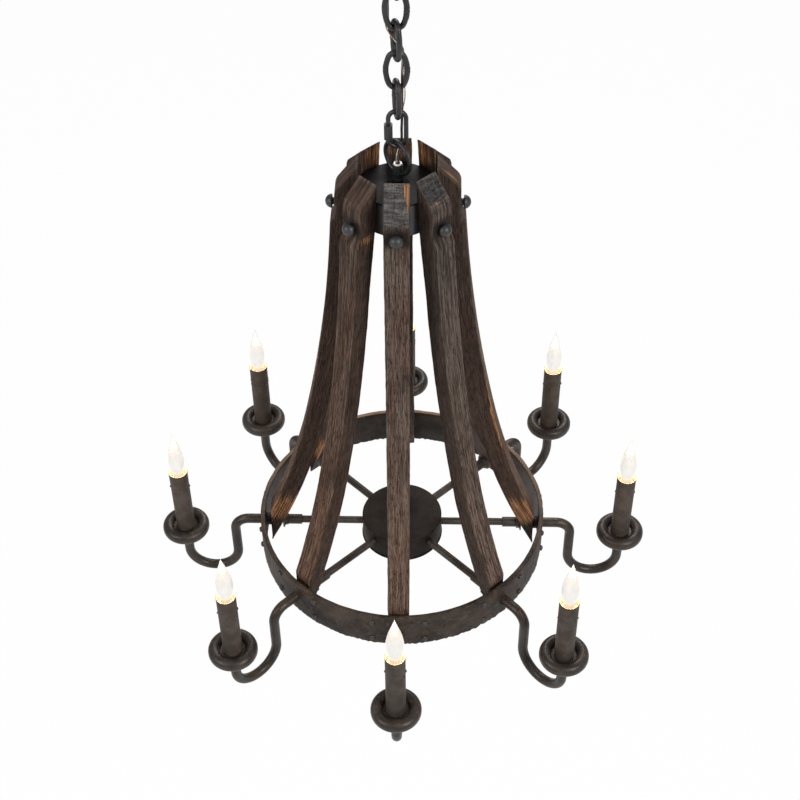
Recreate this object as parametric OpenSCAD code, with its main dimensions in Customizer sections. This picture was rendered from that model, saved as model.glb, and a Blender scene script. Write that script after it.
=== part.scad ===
// Hanging chandelier of eight curved oak staves bolted round a small drum at the top and stood
// off an iron hoop at the foot, with a spoked hub, eight gooseneck arms and eight candle lamps.
// The origin is in the middle of the ceiling bracket, in the plane of the ceiling, and +Z is up.

/* [Layout] */
// Number of staves, arms, spokes and candles
arm_count = 8; // [8:1:8]
// Radius of the circle that the candles stand on
candle_circle_r = 287; // [245:1:345]
// Height from the spokes up to the top of the drum
stave_rise = 537.5; // [440:0.5:640]
// Height from the spokes down to the floor of the drip pans
pan_drop = 14; // [10:0.5:22]

/* [Ceiling fitting] */
// Distance between the two screw holes of the ceiling bracket
box_hole_spacing = 88.9; // [82:0.1:92]
// Diameter of the two screw holes of the ceiling bracket
box_hole_d = 4.8; // [4:0.1:6]
// Diameter of the canopy
canopy_d = 127; // [124:1:152]
// Depth of the canopy
canopy_h = 28; // [26:0.5:34]
// Wall of the canopy
canopy_t = 1.5; // [1:0.1:2.4]
// Centre radius of the ring of the canopy loop
canopy_ring_r = 14; // [13:0.5:18]
// Wire of the canopy loop
canopy_ring_wire = 5; // [4:0.2:6]

/* [Chain] */
// Wire of a chain link
link_wire = 6.2; // [5:0.1:6.6]
// Length of a chain link over all
link_l = 46.4; // [42:0.1:56]
// Width of a chain link over all
link_w = 27.7; // [26:0.1:34]
// Radius of the two ends of a chain link, at the middle of its wire
link_end_r = 8.6; // [7.6:0.1:9.4]
// Wire of the quick link
quick_wire = 5; // [4:0.1:5.6]
// Length of the quick link over all
quick_l = 48; // [44:0.1:56]
// Width of the quick link over all
quick_w = 23.6; // [22:0.1:28]
// Length of the nut of the quick link
quick_nut_l = 18; // [12:0.5:19]

/* [Hang loop and drum] */
// Centre radius of the ring of the hang loop
hang_ring_r = 19; // [16:0.1:22]
// Wire of the hang loop
hang_ring_wire = 4.6; // [4:0.1:5.5]
// Height from the drum's top to the centre of the hang loop's ring
hang_ring_rise = 33.7; // [31:0.1:46]
// Radius of the drum
drum_r = 41; // [36:0.5:46]
// Height of the drum
drum_h = 41; // [36:0.5:48]
// Sheet of the drum and the hub
sheet_t = 2; // [1.5:0.1:2.5]
// Depth of the stave bolts below the drum's top
bolt_drop = 23; // [18:0.5:26]
// Diameter of the stave bolts
bolt_d = 5; // [4:0.5:6]
// Length of the spacers between the drum and the staves
drum_spacer_l = 4.3; // [2:0.1:8]
// Diameter of the domed cap nuts
cap_nut_d = 15.6; // [13:0.2:18]

/* [Staves] */
// Thickness of a stave
stave_t = 23; // [18:0.5:26]
// Thickness of a stave at its bolt
stave_end_t = 27.6; // [25:0.1:32]
// Width of a stave at its top end
stave_top_w = 28; // [22:0.5:30]
// Width of a stave at its foot
stave_foot_w = 26; // [22:0.5:32]
// Radius of the bend of the upper part of a stave
stave_bend_upper = 2000; // [1600:10:3000]
// Radius of the bend of the lower part of a stave
stave_bend_lower = 880; // [700:10:1300]
// Height of the change of bend above the spokes
stave_knee = 194; // [150:1:230]
// Height above the spokes where the foot of a stave turns upright
foot_rise = 27; // [26:0.5:32]
// Depth of the foot of a stave below the spokes
foot_drop = 26.5; // [20:0.5:30]
// Height of a stave's top end above the drum
stave_top_rise = 30.5; // [24:0.5:36]

/* [Hoop] */
// Outer diameter of the hoop
hoop_d = 369; // [320:1:440]
// Thickness of the hoop
hoop_t = 6.5; // [4:0.1:8]
// Height of the hoop
hoop_h = 50.8; // [44:0.2:60]
// Length of the spacers between the hoop and the stave feet
foot_spacer_l = 6.5; // [4:0.5:10]
// Diameter of the rivet heads
rivet_d = 7.5; // [6:0.1:9]
// Angle between an arm and the rivets beside it
rivet_angle = 10.1; // [7:0.1:14]
// Height between the upper and the lower rivet of a pair
rivet_pitch = 29; // [24:0.5:36]

/* [Hub and spokes] */
// Radius of the hub
hub_r = 51.8; // [44:0.2:62]
// Height of the hub
hub_h = 33; // [28:0.5:38]
// Radius of the bottom plate of the hub
hub_plate_r = 52.8; // [52.8:0.2:64]
// Outer diameter of the threaded lamp pipe
pipe_d = 9.7; // [9:0.1:10]
// Bore of the threaded lamp pipe
pipe_bore = 6.5; // [5.5:0.1:7]
// Diameter of the couplings on the spokes
coupling_d = 13; // [12:0.2:15]
// Length of the couplings on the spokes
coupling_l = 17.8; // [15:0.2:22]

/* [Arms and candles] */
// Diameter of the arm tube
arm_d = 12.7; // [11:0.1:14]
// Bore of the arm tube
arm_bore = 10.1; // [8:0.1:10.4]
// Centre radius of the bend where an arm turns down
arm_bend_r = 19; // [14:0.5:20]
// Centre radius of the U bend under a candle
arm_u_r = 32.8; // [25:0.1:36]
// Straight drop of an arm between the two bends
arm_drop = 41.7; // [30:0.1:50]
// Outer diameter of the drip pans
pan_d = 61; // [52:0.5:72]
// Width of the rolled brim of the drip pans
pan_brim_w = 14.8; // [11:0.2:16]
// Height of the rolled brim of the drip pans
pan_brim_h = 16.8; // [16:0.2:20]
// Outer diameter of the candle sleeves
sleeve_d = 24; // [23.6:0.1:26]
// Length of the candle sleeves
sleeve_l = 101.6; // [85:0.1:120]
// Wall of the candle sleeves
sleeve_t = 1; // [0.8:0.1:1.4]
// Widest diameter of the bulbs
bulb_d = 21.6; // [18:0.1:22]
// Height of a bulb's tip above the rim of its sleeve
bulb_rise = 68; // [55:0.5:80]

/* [Hidden] */

// Clearances: hang is between two wires that hang in each other, fit is round a pipe in its hole,
// seat is between faces that rest on each other
hang_gap = 0.3;
loop_gap = 0.4;
fit_gap = 0.05;
slide_gap = 0.15;
seat_gap = 0.02;
eps = 0.5;

// Colours
iron = [0.17, 0.15, 0.14];
black_iron = [0.10, 0.10, 0.10];
steel = [0.55, 0.55, 0.53];
oak = [0.34, 0.25, 0.20];
sleeve_brown = [0.20, 0.17, 0.15];
clear_glass = [0.95, 0.93, 0.86, 0.5];
brass = [0.78, 0.62, 0.32];
porcelain = [0.88, 0.86, 0.80];
cord_brown = [0.22, 0.15, 0.10];

// Directions of the flat of each hanging piece, in degrees round Z
link_yaw = [-74, 2, -71, 2, -77];
quick_yaw = 2;
hang_ring_yaw = -46;
canopy_ring_yaw = 2;

// Ceiling bracket, nipple and the body of the canopy loop
bracket_t = 2;
bracket_w = 16;
bracket_offset = 12;
bracket_centre_half = 24;
bracket_tab_half = box_hole_spacing / 2 - 8;
bracket_end_half = box_hole_spacing / 2 + 8;
locknut_t = 3.8;
locknut_flats = 14.3;
nipple_top = -bracket_offset + bracket_t + locknut_t + 1.2;
loop_body_d = 19;
loop_body_top = -canopy_h + 8;
loop_boss_r = 5.6;
wire_bore_r = 3.25;
canopy_ring_z = -canopy_h - 30.8;
loop_body_bottom = canopy_ring_z + canopy_ring_r - canopy_ring_wire / 2;
nipple_bottom = loop_body_top - 12;
collar_d = 28;
collar_h = 8;

// Heights of the hanging pieces: each is the centre of a wire
link_span = link_l - link_wire;
link_pitch = link_span - link_wire - hang_gap;
first_link_top =
  canopy_ring_z - canopy_ring_r + (canopy_ring_wire + link_wire) / 2 + hang_gap;
function link_top(i) = first_link_top - (i - 1) * link_pitch;
function link_bottom(i) = link_top(i) - link_span;
quick_span = quick_l - quick_wire;
quick_top = link_bottom(5) + (link_wire + quick_wire) / 2 + hang_gap;
quick_bottom = quick_top - quick_span;
quick_mid = (quick_top + quick_bottom) / 2;
quick_half_w = (quick_w - quick_wire) / 2;
quick_nut_flats = 9;
link_short = 0.15;
link_bead = 0.06;
quick_straight = quick_l - quick_w;
quick_nut_z = quick_mid - (quick_straight - quick_nut_l) / 2 + 0.1;
quick_gap = 6;
quick_gap_z = -quick_straight / 2 + 2.6 + quick_gap / 2;
hang_ring_z = quick_bottom + (quick_wire + hang_ring_wire) / 2 + loop_gap - hang_ring_r;

// Drum, neck and spokes
drum_top = hang_ring_z - hang_ring_rise;
drum_bottom = drum_top - drum_h;
spoke_z = drum_top - stave_rise;
collar_t = 4;
collar_r = 12.5;
neck_r = 5.6;
neck_top = hang_ring_z - hang_ring_r + 10.4;
bushing_flange_t = 1.6;
bushing_r = 4.6;
bushing_bore_r = 2.6;
neck_tail = 12;

// Hoop and what stands between it and the staves
hoop_r = hoop_d / 2;
hoop_inner_r = hoop_r - hoop_t;
hoop_mid_z = spoke_z + 0.5;
foot_r = hoop_inner_r - foot_spacer_l;
foot_spacer_d = 16;
drum_spacer_d = 11;

// Bend of a stave: its outer face is two arcs whose centres lie outside the staves, and its
// lean is the angle from the vertical at the bolt that brings the face to the foot
bolt_z = stave_rise - bolt_drop;
end_in_r = drum_r + drum_spacer_l;
end_out_r = end_in_r + stave_end_t;
function arc_cos(s) = sqrt(1 - s * s);
function face_r(lean) =
  let (
    s_top = sin(lean),
    s_knee = s_top + (bolt_z - stave_knee) / stave_bend_upper,
    s_foot = s_knee + (stave_knee - foot_rise) / stave_bend_lower
  )
  end_out_r + stave_bend_upper * (arc_cos(s_top) - arc_cos(s_knee))
  + stave_bend_lower * (arc_cos(s_knee) - arc_cos(s_foot));
function solve_lean(low, high, steps) =
  steps == 0 ? (low + high) / 2
  : face_r((low + high) / 2) < foot_r ? solve_lean((low + high) / 2, high, steps - 1)
  : solve_lean(low, (low + high) / 2, steps - 1);
stave_lean = solve_lean(-12, 22, 30);
knee_sin = sin(stave_lean) + (bolt_z - stave_knee) / stave_bend_upper;
knee_dir = [arc_cos(knee_sin), knee_sin];
upper_centre = [end_out_r, bolt_z] + stave_bend_upper * [cos(stave_lean), sin(stave_lean)];
lower_centre = upper_centre - (stave_bend_upper - stave_bend_lower) * knee_dir;

// Radius of a stave's inner face at a height above the spokes, on its lower bend
function inner_face_r(h) =
  lower_centre[0] - sqrt(pow(stave_bend_lower + stave_t, 2) - pow(lower_centre[1] - h, 2));
washer_flat_t = 1.5;
washer_tooth_t = 1.2;
washer_d = 22;
tooth_washer_d = 17;
spot_face_r = inner_face_r(0) - 2.5;
washer_in_r = spot_face_r - washer_flat_t - washer_tooth_t;
nut_in_r = washer_in_r - locknut_t;
coupling_out_r = nut_in_r - seat_gap;
coupling_in_r = coupling_out_r - coupling_l;
coupling_mid_r = (coupling_in_r + coupling_out_r) / 2;

// Top end of a stave: it thickens towards the drum, and a hollow runs across its outer face at
// the bolt, under a bevel
swell_l = 84;
end_draw_in = 3.3;
top_hollow_r = 28;
top_hollow_depth = 6;
cap_neck_l = 4;
cap_neck_d = 8;
bolt_head_t = 3.5;
bolt_head_flats = 8;
bolt_head_r = sqrt(pow(drum_r - sheet_t, 2) - pow(bolt_head_flats / cos(30) / 2, 2)) - seat_gap;
waist_r = end_out_r - top_hollow_depth;

// Radius of a stave's upper bend at a height above the spokes, at a depth under its outer face
function upper_bend_r(h, depth) =
  upper_centre[0] - sqrt(pow(stave_bend_upper + depth, 2) - pow(upper_centre[1] - h, 2));
cap_seat_r =
  waist_r + top_hollow_r - sqrt(pow(top_hollow_r, 2) - pow(cap_neck_d / 2, 2)) + seat_gap;

// Hub
hub_top = hub_h / 2 - 1;
hub_bottom = hub_top - hub_h;
spoke_in_r = hub_r - 7;

// Arms and candles
limb_r = candle_circle_r - 2 * arm_u_r;
arm_u_z = -arm_bend_r - arm_drop;
pan_t = 2;
pan_floor = -pan_drop;
brim_sink = 1.5;
tip_d = 9.7;
tip_top = pan_floor + 9;
wire_d = 3;
sleeve_rim = pan_floor + sleeve_l;
socket_top = sleeve_rim - 9;
socket_l = 38;
socket_d = 19.4;
socket_bore_d = 12.2;
bulb_base_d = 11.9;
bulb_base_l = 19;
bulb_neck_r = 7;
bulb_wide_rise = 19;
bulb_foot = socket_top + 0.4;
glass_t = 0.8;

// Where the supply cord and the ground wire run, from inside the canopy loop, woven down the
// chain, through the quick link and into the neck of the hang loop
cord_d = 2.8;
ground_d = 1.2;
cord_route = [
  [1, 0, -1], [1, 0, -15], [1, 0, -30], [1, 0, -40], [1, 0.4, -49], [-2, 4, -56], [-6, 7, -63], [-8, 7, -72],
  [-9, 6.5, -84], [-8.4, 6, -97], [-8.2, 6.2, -110], [-8.2, 6.2, -122], [-8.2, 6, -133],
  [-7.6, 5.6, -142], [-5.6, 5.2, -149], [-2, 5.2, -155], [2.5, 5.8, -161], [6, 6.8, -168],
  [6.2, 6.8, -177], [5.8, 6.2, -188], [5.5, 5.8, -200], [5.4, 5, -212], [5.2, 4.6, -225],
  [5, 4.6, -238], [4.8, 4.6, -250], [4.4, 4.8, -261], [4.4, 5.2, -271], [3.8, 4.6, -281],
  [2, 1.6, -290], [0.9, 0.2, -297], [0.8, 0, -305], [0.8, 0, -318],
  [0.8, 0, -335], [0.8, 0, -353]
];
ground_route = [
  [-1.6, 0, -1], [-1.6, 0, -15], [-1.6, 0, -30], [-1.6, 0, -40], [-1.6, 0.4, -50.5], [-5, 6, -57], [-8.6, 9, -63],
  [-10.6, 8.6, -72], [-11.4, 7.6, -84], [-10.8, 7, -97], [-10.8, 7, -110], [-10.8, 7, -122],
  [-10.8, 5, -133], [-10, 3.6, -142], [-6.4, 2.8, -149], [-2.4, 2.6, -155], [1.6, 3.2, -161],
  [4.8, 4.3, -168], [5.6, 4.2, -177], [5.6, 3.6, -188], [7.2, 4.2, -200], [8.2, 5.8, -212],
  [8, 6.6, -225], [6, 7.6, -238], [5.2, 7.4, -250], [4.8, 7.6, -261], [4.2, 8, -271],
  [2, 6.8, -281], [-0.6, 3.4, -290], [-1.6, 0.6, -297], [-1.7, 0, -305], [-1.7, 0, -318],
  [-1.7, 0, -335], [-1.7, 0, -353]
];

$fn = 72;
big_fn = 1440;

// Children drawn along +X at a candle, turned to one of the arms
module at_arm(i) {
  rotate([0, 0, -90 + (i - 1) * 360 / arm_count]) translate([0, 0, spoke_z]) children();
}

module at_each_arm() {
  for (i = [1:arm_count]) at_arm(i) children();
}

// Rod along +X from one radius to another
module rod(x1, x2, d) {
  translate([x1, 0, 0]) rotate([0, 90, 0]) cylinder(d = d, h = x2 - x1);
}

module hex_nut(flats, t, bore) {
  difference() {
    cylinder(d = flats / cos(30), h = t, $fn = 6);
    translate([0, 0, -eps]) cylinder(d = bore, h = t + 2 * eps);
  }
}

// Ring of round wire that stands upright
module upright_ring(r, wire) {
  rotate([90, 0, 0]) rotate_extrude() translate([r, 0]) circle(d = wire);
}

// Oval of round wire that stands upright, centred on the origin
module oval_link(l, w, wire) {
  span = (l - w) / 2;
  r = (w - wire) / 2;
  for (side = [-1, 1]) {
    translate([side * r, 0, -span]) cylinder(d = wire, h = 2 * span);
    translate([0, 0, side * span])
      rotate([90, 0, 0]) rotate([0, 0, side > 0 ? 0 : 180])
        rotate_extrude(angle = 180) translate([r, 0]) circle(d = wire);
  }
}

// Chain link of round wire that stands upright: two side arcs between two tighter end arcs, which
// stop a little short of each other inside a slight bead
module bowed_link(l, w, end_r, wire) {
  half_w = (w - wire) / 2;
  end_z = (l - wire) / 2 - end_r;
  side_r = (pow(half_w, 2) + pow(end_z, 2) - pow(end_r, 2)) / (2 * (half_w - end_r));
  reach = atan2(end_z, side_r - half_w);
  side_turn = reach - link_short / side_r * 180 / PI;
  end_turn = 90 - reach - link_short / end_r * 180 / PI;
  for (side = [0, 180]) {
    rotate([90, side, 0]) translate([half_w - side_r, 0, 0]) rotate([0, 0, -side_turn])
      rotate_extrude(angle = 2 * side_turn) translate([side_r, 0]) circle(d = wire);
    rotate([90, side, 0]) translate([0, end_z, 0]) rotate([0, 0, 90 - end_turn])
      rotate_extrude(angle = 2 * end_turn) translate([end_r, 0]) circle(d = wire);
  }
  for (x = [-1, 1], z = [-1, 1])
    translate([x * end_r * cos(reach), 0, z * (end_z + end_r * sin(reach))])
      sphere(d = wire + 2 * link_bead);
}

// Tube swept along a route: a smooth curve through the points, with a ring at each step
function curve_point(a, b, c, d, t) =
  0.5 * (2 * b + (c - a) * t + (2 * a - 5 * b + 4 * c - d) * t * t
    + (3 * b - a - 3 * c + d) * t * t * t);
function smooth_route(p, n) = [
  for (i = [0:len(p) - 2], k = [0:n - 1])
    curve_point(p[max(i - 1, 0)], p[i], p[i + 1], p[min(i + 2, len(p) - 1)], k / n),
  p[len(p) - 1]
];
function unit(v) = v / norm(v);
module swept_tube(route, d, steps) {
  sides = 8;
  q = smooth_route(route, steps);
  last = len(q) - 1;
  rings = [
    for (i = [0:last])
      let (
        along = unit(q[min(i + 1, last)] - q[max(i - 1, 0)]),
        across = unit(cross(along, [0, 1, 0])),
        up = cross(across, along)
      )
      for (k = [0:sides - 1])
        q[i] + d / 2 * (cos(360 * k / sides) * across + sin(360 * k / sides) * up)
  ];
  faces = concat(
    [[for (k = [0:sides - 1]) k]],
    [for (i = [0:last - 1], k = [0:sides - 1])
      let (a = i * sides + k, b = i * sides + (k + 1) % sides)
      [a, a + sides, b + sides, b]],
    [[for (k = [sides - 1:-1:0]) last * sides + k]]
  );
  polyhedron(points = rings, faces = faces, convexity = 6);
}

// ---- Ceiling fitting ----

module ceiling_bracket() {
  color(steel)
    difference() {
      rotate([90, 0, 0])
        linear_extrude(height = bracket_w, center = true)
          polygon([
            [-bracket_end_half, 0], [-bracket_end_half, -bracket_t],
            [-bracket_tab_half, -bracket_t], [-bracket_centre_half, -bracket_offset],
            [bracket_centre_half, -bracket_offset], [bracket_tab_half, -bracket_t],
            [bracket_end_half, -bracket_t], [bracket_end_half, 0], [bracket_tab_half, 0],
            [bracket_centre_half, bracket_t - bracket_offset],
            [-bracket_centre_half, bracket_t - bracket_offset], [-bracket_tab_half, 0]
          ]);
      for (side = [-1, 1])
        translate([side * box_hole_spacing / 2, 0, -bracket_t - eps])
          cylinder(d = box_hole_d, h = bracket_t + 2 * eps);
      translate([0, 0, -bracket_offset - eps])
        cylinder(d = pipe_d + 2 * fit_gap, h = bracket_t + 2 * eps);
    }
}

module canopy_nipple() {
  color(steel)
    difference() {
      translate([0, 0, nipple_bottom]) cylinder(d = pipe_d, h = nipple_top - nipple_bottom);
      translate([0, 0, nipple_bottom - eps])
        cylinder(d = pipe_bore, h = nipple_top - nipple_bottom + 2 * eps);
    }
}

module nipple_locknut() {
  color(steel)
    translate([0, 0, bracket_t - bracket_offset + seat_gap])
      hex_nut(locknut_flats, locknut_t, pipe_d + 2 * fit_gap);
}

// Dish outline from the rim down to the flat middle
function dish(r, h) = [for (a = [0:7.5:82.5]) [r * pow(cos(a), 0.45), -h * pow(sin(a), 0.62)]];

module canopy() {
  outer = dish(canopy_d / 2, canopy_h);
  inner = dish(canopy_d / 2 - canopy_t, canopy_h - canopy_t);
  hole_r = loop_body_d / 2 + slide_gap;
  color(iron)
    rotate_extrude()
      polygon(concat(
        outer, [[hole_r, -canopy_h], [hole_r, canopy_t - canopy_h]],
        [for (i = [len(inner) - 1:-1:0]) inner[i]]
      ));
}

module canopy_loop() {
  color(iron)
    difference() {
      union() {
        translate([0, 0, loop_body_bottom])
          cylinder(d = loop_body_d, h = loop_body_top - loop_body_bottom);
        translate([0, 0, canopy_ring_z]) rotate([0, 0, canopy_ring_yaw])
          upright_ring(canopy_ring_r, canopy_ring_wire);
        translate([0, 0, loop_body_bottom - 3.5]) cylinder(r = loop_boss_r, h = 5);
      }
      translate([0, 0, loop_body_bottom - 10])
        cylinder(r = wire_bore_r, h = loop_body_top - loop_body_bottom + 20);
      translate([0, 0, nipple_bottom - seat_gap])
        cylinder(d = pipe_d + 2 * fit_gap, h = 30);
    }
}

module canopy_ring() {
  color(iron)
    translate([0, 0, -canopy_h - collar_h - seat_gap])
      difference() {
        cylinder(d = collar_d, h = collar_h);
        translate([0, 0, -eps])
          cylinder(d = loop_body_d + 2 * fit_gap, h = collar_h + 2 * eps);
      }
}

// ---- Chain ----

module chain_link(i) {
  color(iron)
    translate([0, 0, (link_top(i) + link_bottom(i)) / 2])
      rotate([0, 0, link_yaw[i - 1]]) bowed_link(link_l, link_w, link_end_r, link_wire);
}

module quick_link() {
  color(black_iron)
    translate([0, 0, quick_mid]) rotate([0, 0, quick_yaw]) {
      difference() {
        oval_link(quick_l, quick_w, quick_wire);
        translate([-quick_half_w, 0, quick_gap_z])
          cube([2 * quick_wire, 2 * quick_wire, quick_gap], center = true);
      }
    }
}

module quick_link_nut() {
  color(black_iron)
    translate([0, 0, quick_nut_z]) rotate([0, 0, quick_yaw])
      translate([-quick_half_w, 0, -quick_nut_l / 2])
        hex_nut(quick_nut_flats, quick_nut_l, quick_wire + 2 * slide_gap);
}

module supply_cord() {
  color(cord_brown) swept_tube(cord_route, cord_d, 2);
}

module ground_wire() {
  color(steel) swept_tube(ground_route, ground_d, 1);
}

// ---- Hang loop and drum ----

module hang_loop() {
  tail_bottom = drum_top - neck_tail;
  color(iron)
    difference() {
      union() {
        translate([0, 0, hang_ring_z]) rotate([0, 0, hang_ring_yaw])
          upright_ring(hang_ring_r, hang_ring_wire);
        translate([0, 0, drum_top + collar_t + seat_gap])
          cylinder(r = neck_r, h = neck_top - drum_top - collar_t - seat_gap);
        translate([0, 0, tail_bottom])
          cylinder(d = pipe_d, h = drum_top + collar_t + eps - tail_bottom);
      }
      translate([0, 0, tail_bottom - eps])
        cylinder(r = wire_bore_r, h = neck_top - tail_bottom + 2 * eps);
    }
}

module loop_bushing() {
  color(porcelain)
    difference() {
      union() {
        translate([0, 0, neck_top + seat_gap]) cylinder(r = bushing_r, h = bushing_flange_t);
        translate([0, 0, neck_top - 3]) cylinder(r = wire_bore_r - fit_gap, h = 3 + eps);
      }
      translate([0, 0, neck_top - 3 - eps]) cylinder(r = bushing_bore_r, h = 8);
    }
}

module loop_collar() {
  color(iron)
    translate([0, 0, drum_top])
      difference() {
        union() {
          cylinder(r = collar_r, h = collar_t / 2);
          cylinder(r1 = collar_r - 2, r2 = collar_r - 6, h = collar_t);
        }
        translate([0, 0, -eps]) cylinder(d = pipe_d + 2 * fit_gap, h = collar_t + 2 * eps);
      }
}

module top_drum() {
  color(black_iron)
    difference() {
      translate([0, 0, drum_bottom]) cylinder(r = drum_r, h = drum_h - sheet_t - seat_gap);
      translate([0, 0, drum_bottom + sheet_t]) cylinder(r = drum_r - sheet_t, h = drum_h);
      translate([0, 0, drum_bottom - eps])
        cylinder(d = pipe_d + 2 * fit_gap, h = sheet_t + 2 * eps);
      translate([0, 0, spoke_z])
        for (i = [1:arm_count])
          rotate([0, 0, -90 + (i - 1) * 360 / arm_count]) translate([0, 0, bolt_z])
            rod(drum_r - 10, drum_r + 10, bolt_d + 2 * fit_gap);
    }
}

module drum_lid() {
  color(black_iron)
    translate([0, 0, drum_top - sheet_t])
      difference() {
        cylinder(r = drum_r, h = sheet_t);
        translate([0, 0, -eps]) cylinder(d = pipe_d + 2 * fit_gap, h = sheet_t + 2 * eps);
      }
}

// ---- Staves ----

// Band between a stave's outer and inner face, on one of its two bends
module bend_band(centre, r) {
  difference() {
    translate(centre) circle(r = r + stave_t, $fn = big_fn);
    translate(centre) circle(r = r, $fn = big_fn);
  }
}

module stave_bends() {
  knee_out = lower_centre - (stave_bend_lower - 60) * knee_dir;
  knee_in = lower_centre - (stave_bend_lower + stave_t + 60) * knee_dir;
  above = stave_rise + stave_top_rise + 60;
  below = -foot_drop - 60;
  difference() {
    union() {
      intersection() {
        bend_band(upper_centre, stave_bend_upper);
        polygon([knee_out, knee_in, [0, knee_in[1]], [0, above], [knee_out[0] + 60, above]]);
      }
      intersection() {
        bend_band(lower_centre, stave_bend_lower);
        polygon([knee_in, knee_out, [foot_r + 90, knee_out[1]], [foot_r + 90, below],
          [knee_in[0], below]]);
      }
    }
    translate([foot_r, below]) square([100, foot_rise - below]);
    translate([0, below - eps]) square([foot_r + 100, -foot_drop - below + eps]);
    stave_top_cut();
  }
}

// Thickening of the top end, which runs half way into the stave
module stave_swell() {
  top = stave_rise + stave_top_rise;
  swell_z = bolt_z - swell_l;
  core = stave_t / 2;
  difference() {
    polygon([
      [upper_bend_r(swell_z, stave_t), swell_z], [end_in_r, bolt_z], [end_in_r - end_draw_in, top],
      [upper_bend_r(top, core), top], [upper_bend_r(swell_z, core), swell_z]
    ]);
    stave_top_cut();
  }
}

// What the saw takes off the top end: the hollow for the cap nut, the bevel and all above it
module stave_top_cut() {
  top = stave_rise + stave_top_rise;
  above = top + 60;
  chime_r = waist_r + 1.2;
  bevel_foot = stave_rise + 6.5;
  polygon([
    [chime_r, bolt_z], [chime_r, bevel_foot - 6], [chime_r - 2, bevel_foot],
    [end_in_r - end_draw_in, top], [0, top], [0, above + eps], [drum_r + 100, above + eps],
    [drum_r + 100, bolt_z]
  ]);
  translate([waist_r + top_hollow_r, bolt_z]) circle(r = top_hollow_r, $fn = 180);
}

// Upright board as wide as a stave, that narrows towards the foot
module stave_board() {
  top = stave_rise + stave_top_rise + 1;
  bottom = -foot_drop - 1;
  rotate([90, 0, 90])
    linear_extrude(height = hoop_r)
      polygon([[-stave_foot_w / 2, bottom], [stave_foot_w / 2, bottom], [stave_top_w / 2, top],
        [-stave_top_w / 2, top]]);
}

module stave(i) {
  color(oak)
    at_arm(i)
      difference() {
        intersection() {
          rotate([90, 0, 0]) {
            linear_extrude(height = 2 * stave_top_w + 2 * stave_foot_w, center = true)
              stave_bends();
            linear_extrude(height = 2 * stave_top_w + 2 * stave_foot_w, center = true)
              stave_swell();
          }
          stave_board();
        }
        translate([0, 0, bolt_z]) {
          rod(0, waist_r + 10, bolt_d + 0.4);
          rod(0, end_in_r, drum_spacer_d + 1);
        }
        rod(spot_face_r - 40, foot_r + 5, pipe_d + 0.4);
        rod(spot_face_r - 40, spot_face_r, washer_d + 1);
      }
}

module stave_bolts() {
  color(steel)
    at_each_arm()
      translate([0, 0, bolt_z]) {
        rod(bolt_head_r - eps, cap_seat_r + cap_neck_l + 2.6, bolt_d);
        translate([bolt_head_r - bolt_head_t, 0, 0]) rotate([0, 90, 0])
          cylinder(d = bolt_head_flats / cos(30), h = bolt_head_t, $fn = 6);
      }
}

module cap_nuts() {
  dome_r = cap_nut_d / 2;
  color(iron)
    at_each_arm()
      translate([cap_seat_r, 0, bolt_z]) rotate([0, 90, 0])
        difference() {
          union() {
            cylinder(d = cap_neck_d, h = cap_neck_l + eps);
            translate([0, 0, cap_neck_l])
              intersection() {
                sphere(r = dome_r);
                cylinder(r = 2 * dome_r, h = 2 * dome_r);
              }
          }
          translate([0, 0, -eps]) cylinder(d = bolt_d + 2 * fit_gap, h = cap_neck_l + 3 + eps);
        }
}

// ---- Hoop and spacers ----

module at_each_rivet() {
  for (i = [1:arm_count], side = [-1, 1], level = [-1, 1])
    rotate([0, 0, -90 + (i - 1) * 360 / arm_count + side * rivet_angle])
      translate([0, 0, hoop_mid_z + level * rivet_pitch / 2]) children();
}

module hoop() {
  shank_d = 4.5;
  color(iron)
    difference() {
      translate([0, 0, hoop_mid_z - hoop_h / 2]) cylinder(r = hoop_r, h = hoop_h, $fn = 360);
      translate([0, 0, hoop_mid_z - hoop_h / 2 - eps])
        cylinder(r = hoop_inner_r, h = hoop_h + 2 * eps, $fn = 360);
      at_each_arm() rod(hoop_inner_r - 5, hoop_r + 5, pipe_d + 2 * fit_gap);
      at_each_rivet() rod(hoop_inner_r - 5, hoop_r + 5, shank_d + 2 * fit_gap);
    }
}

module hoop_rivets() {
  shank_d = 4.5;
  head_h = 2.8;
  dome_r = (pow(rivet_d / 2, 2) + head_h * head_h) / (2 * head_h);
  color(iron)
    at_each_rivet() rotate([0, 90, 0]) rotate_extrude($fn = 36) {
      translate([0, hoop_inner_r + 0.8]) square([shank_d / 2, hoop_t]);
      intersection() {
        translate([0, hoop_r + head_h - dome_r]) circle(r = dome_r);
        translate([0, hoop_r + seat_gap]) square([dome_r, 2 * dome_r]);
      }
    }
}

module spacers() {
  color(black_iron)
    at_each_arm() {
      difference() {
        rod(foot_r + seat_gap, hoop_inner_r - 0.25, foot_spacer_d);
        rod(foot_r - 1, hoop_inner_r + 1, pipe_d + 2 * fit_gap);
      }
      translate([0, 0, bolt_z])
        difference() {
          rod(drum_r + seat_gap, end_in_r - seat_gap, drum_spacer_d);
          rod(drum_r - 1, end_in_r + 1, bolt_d + 2 * fit_gap);
        }
    }
}

// ---- Hub, spokes and what joins them to the staves ----

module hub_body() {
  color(iron)
    translate([0, 0, spoke_z])
      difference() {
        translate([0, 0, hub_bottom]) cylinder(r = hub_r, h = hub_h);
        translate([0, 0, hub_bottom - eps])
          cylinder(r = hub_r - sheet_t, h = hub_h - sheet_t + eps);
        translate([0, 0, hub_top - sheet_t - eps])
          cylinder(d = pipe_d + 2 * fit_gap, h = sheet_t + 2 * eps);
        for (i = [1:arm_count])
          rotate([0, 0, -90 + (i - 1) * 360 / arm_count])
            rod(hub_r - 10, hub_r + 10, pipe_d + 2 * fit_gap);
      }
}

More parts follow.
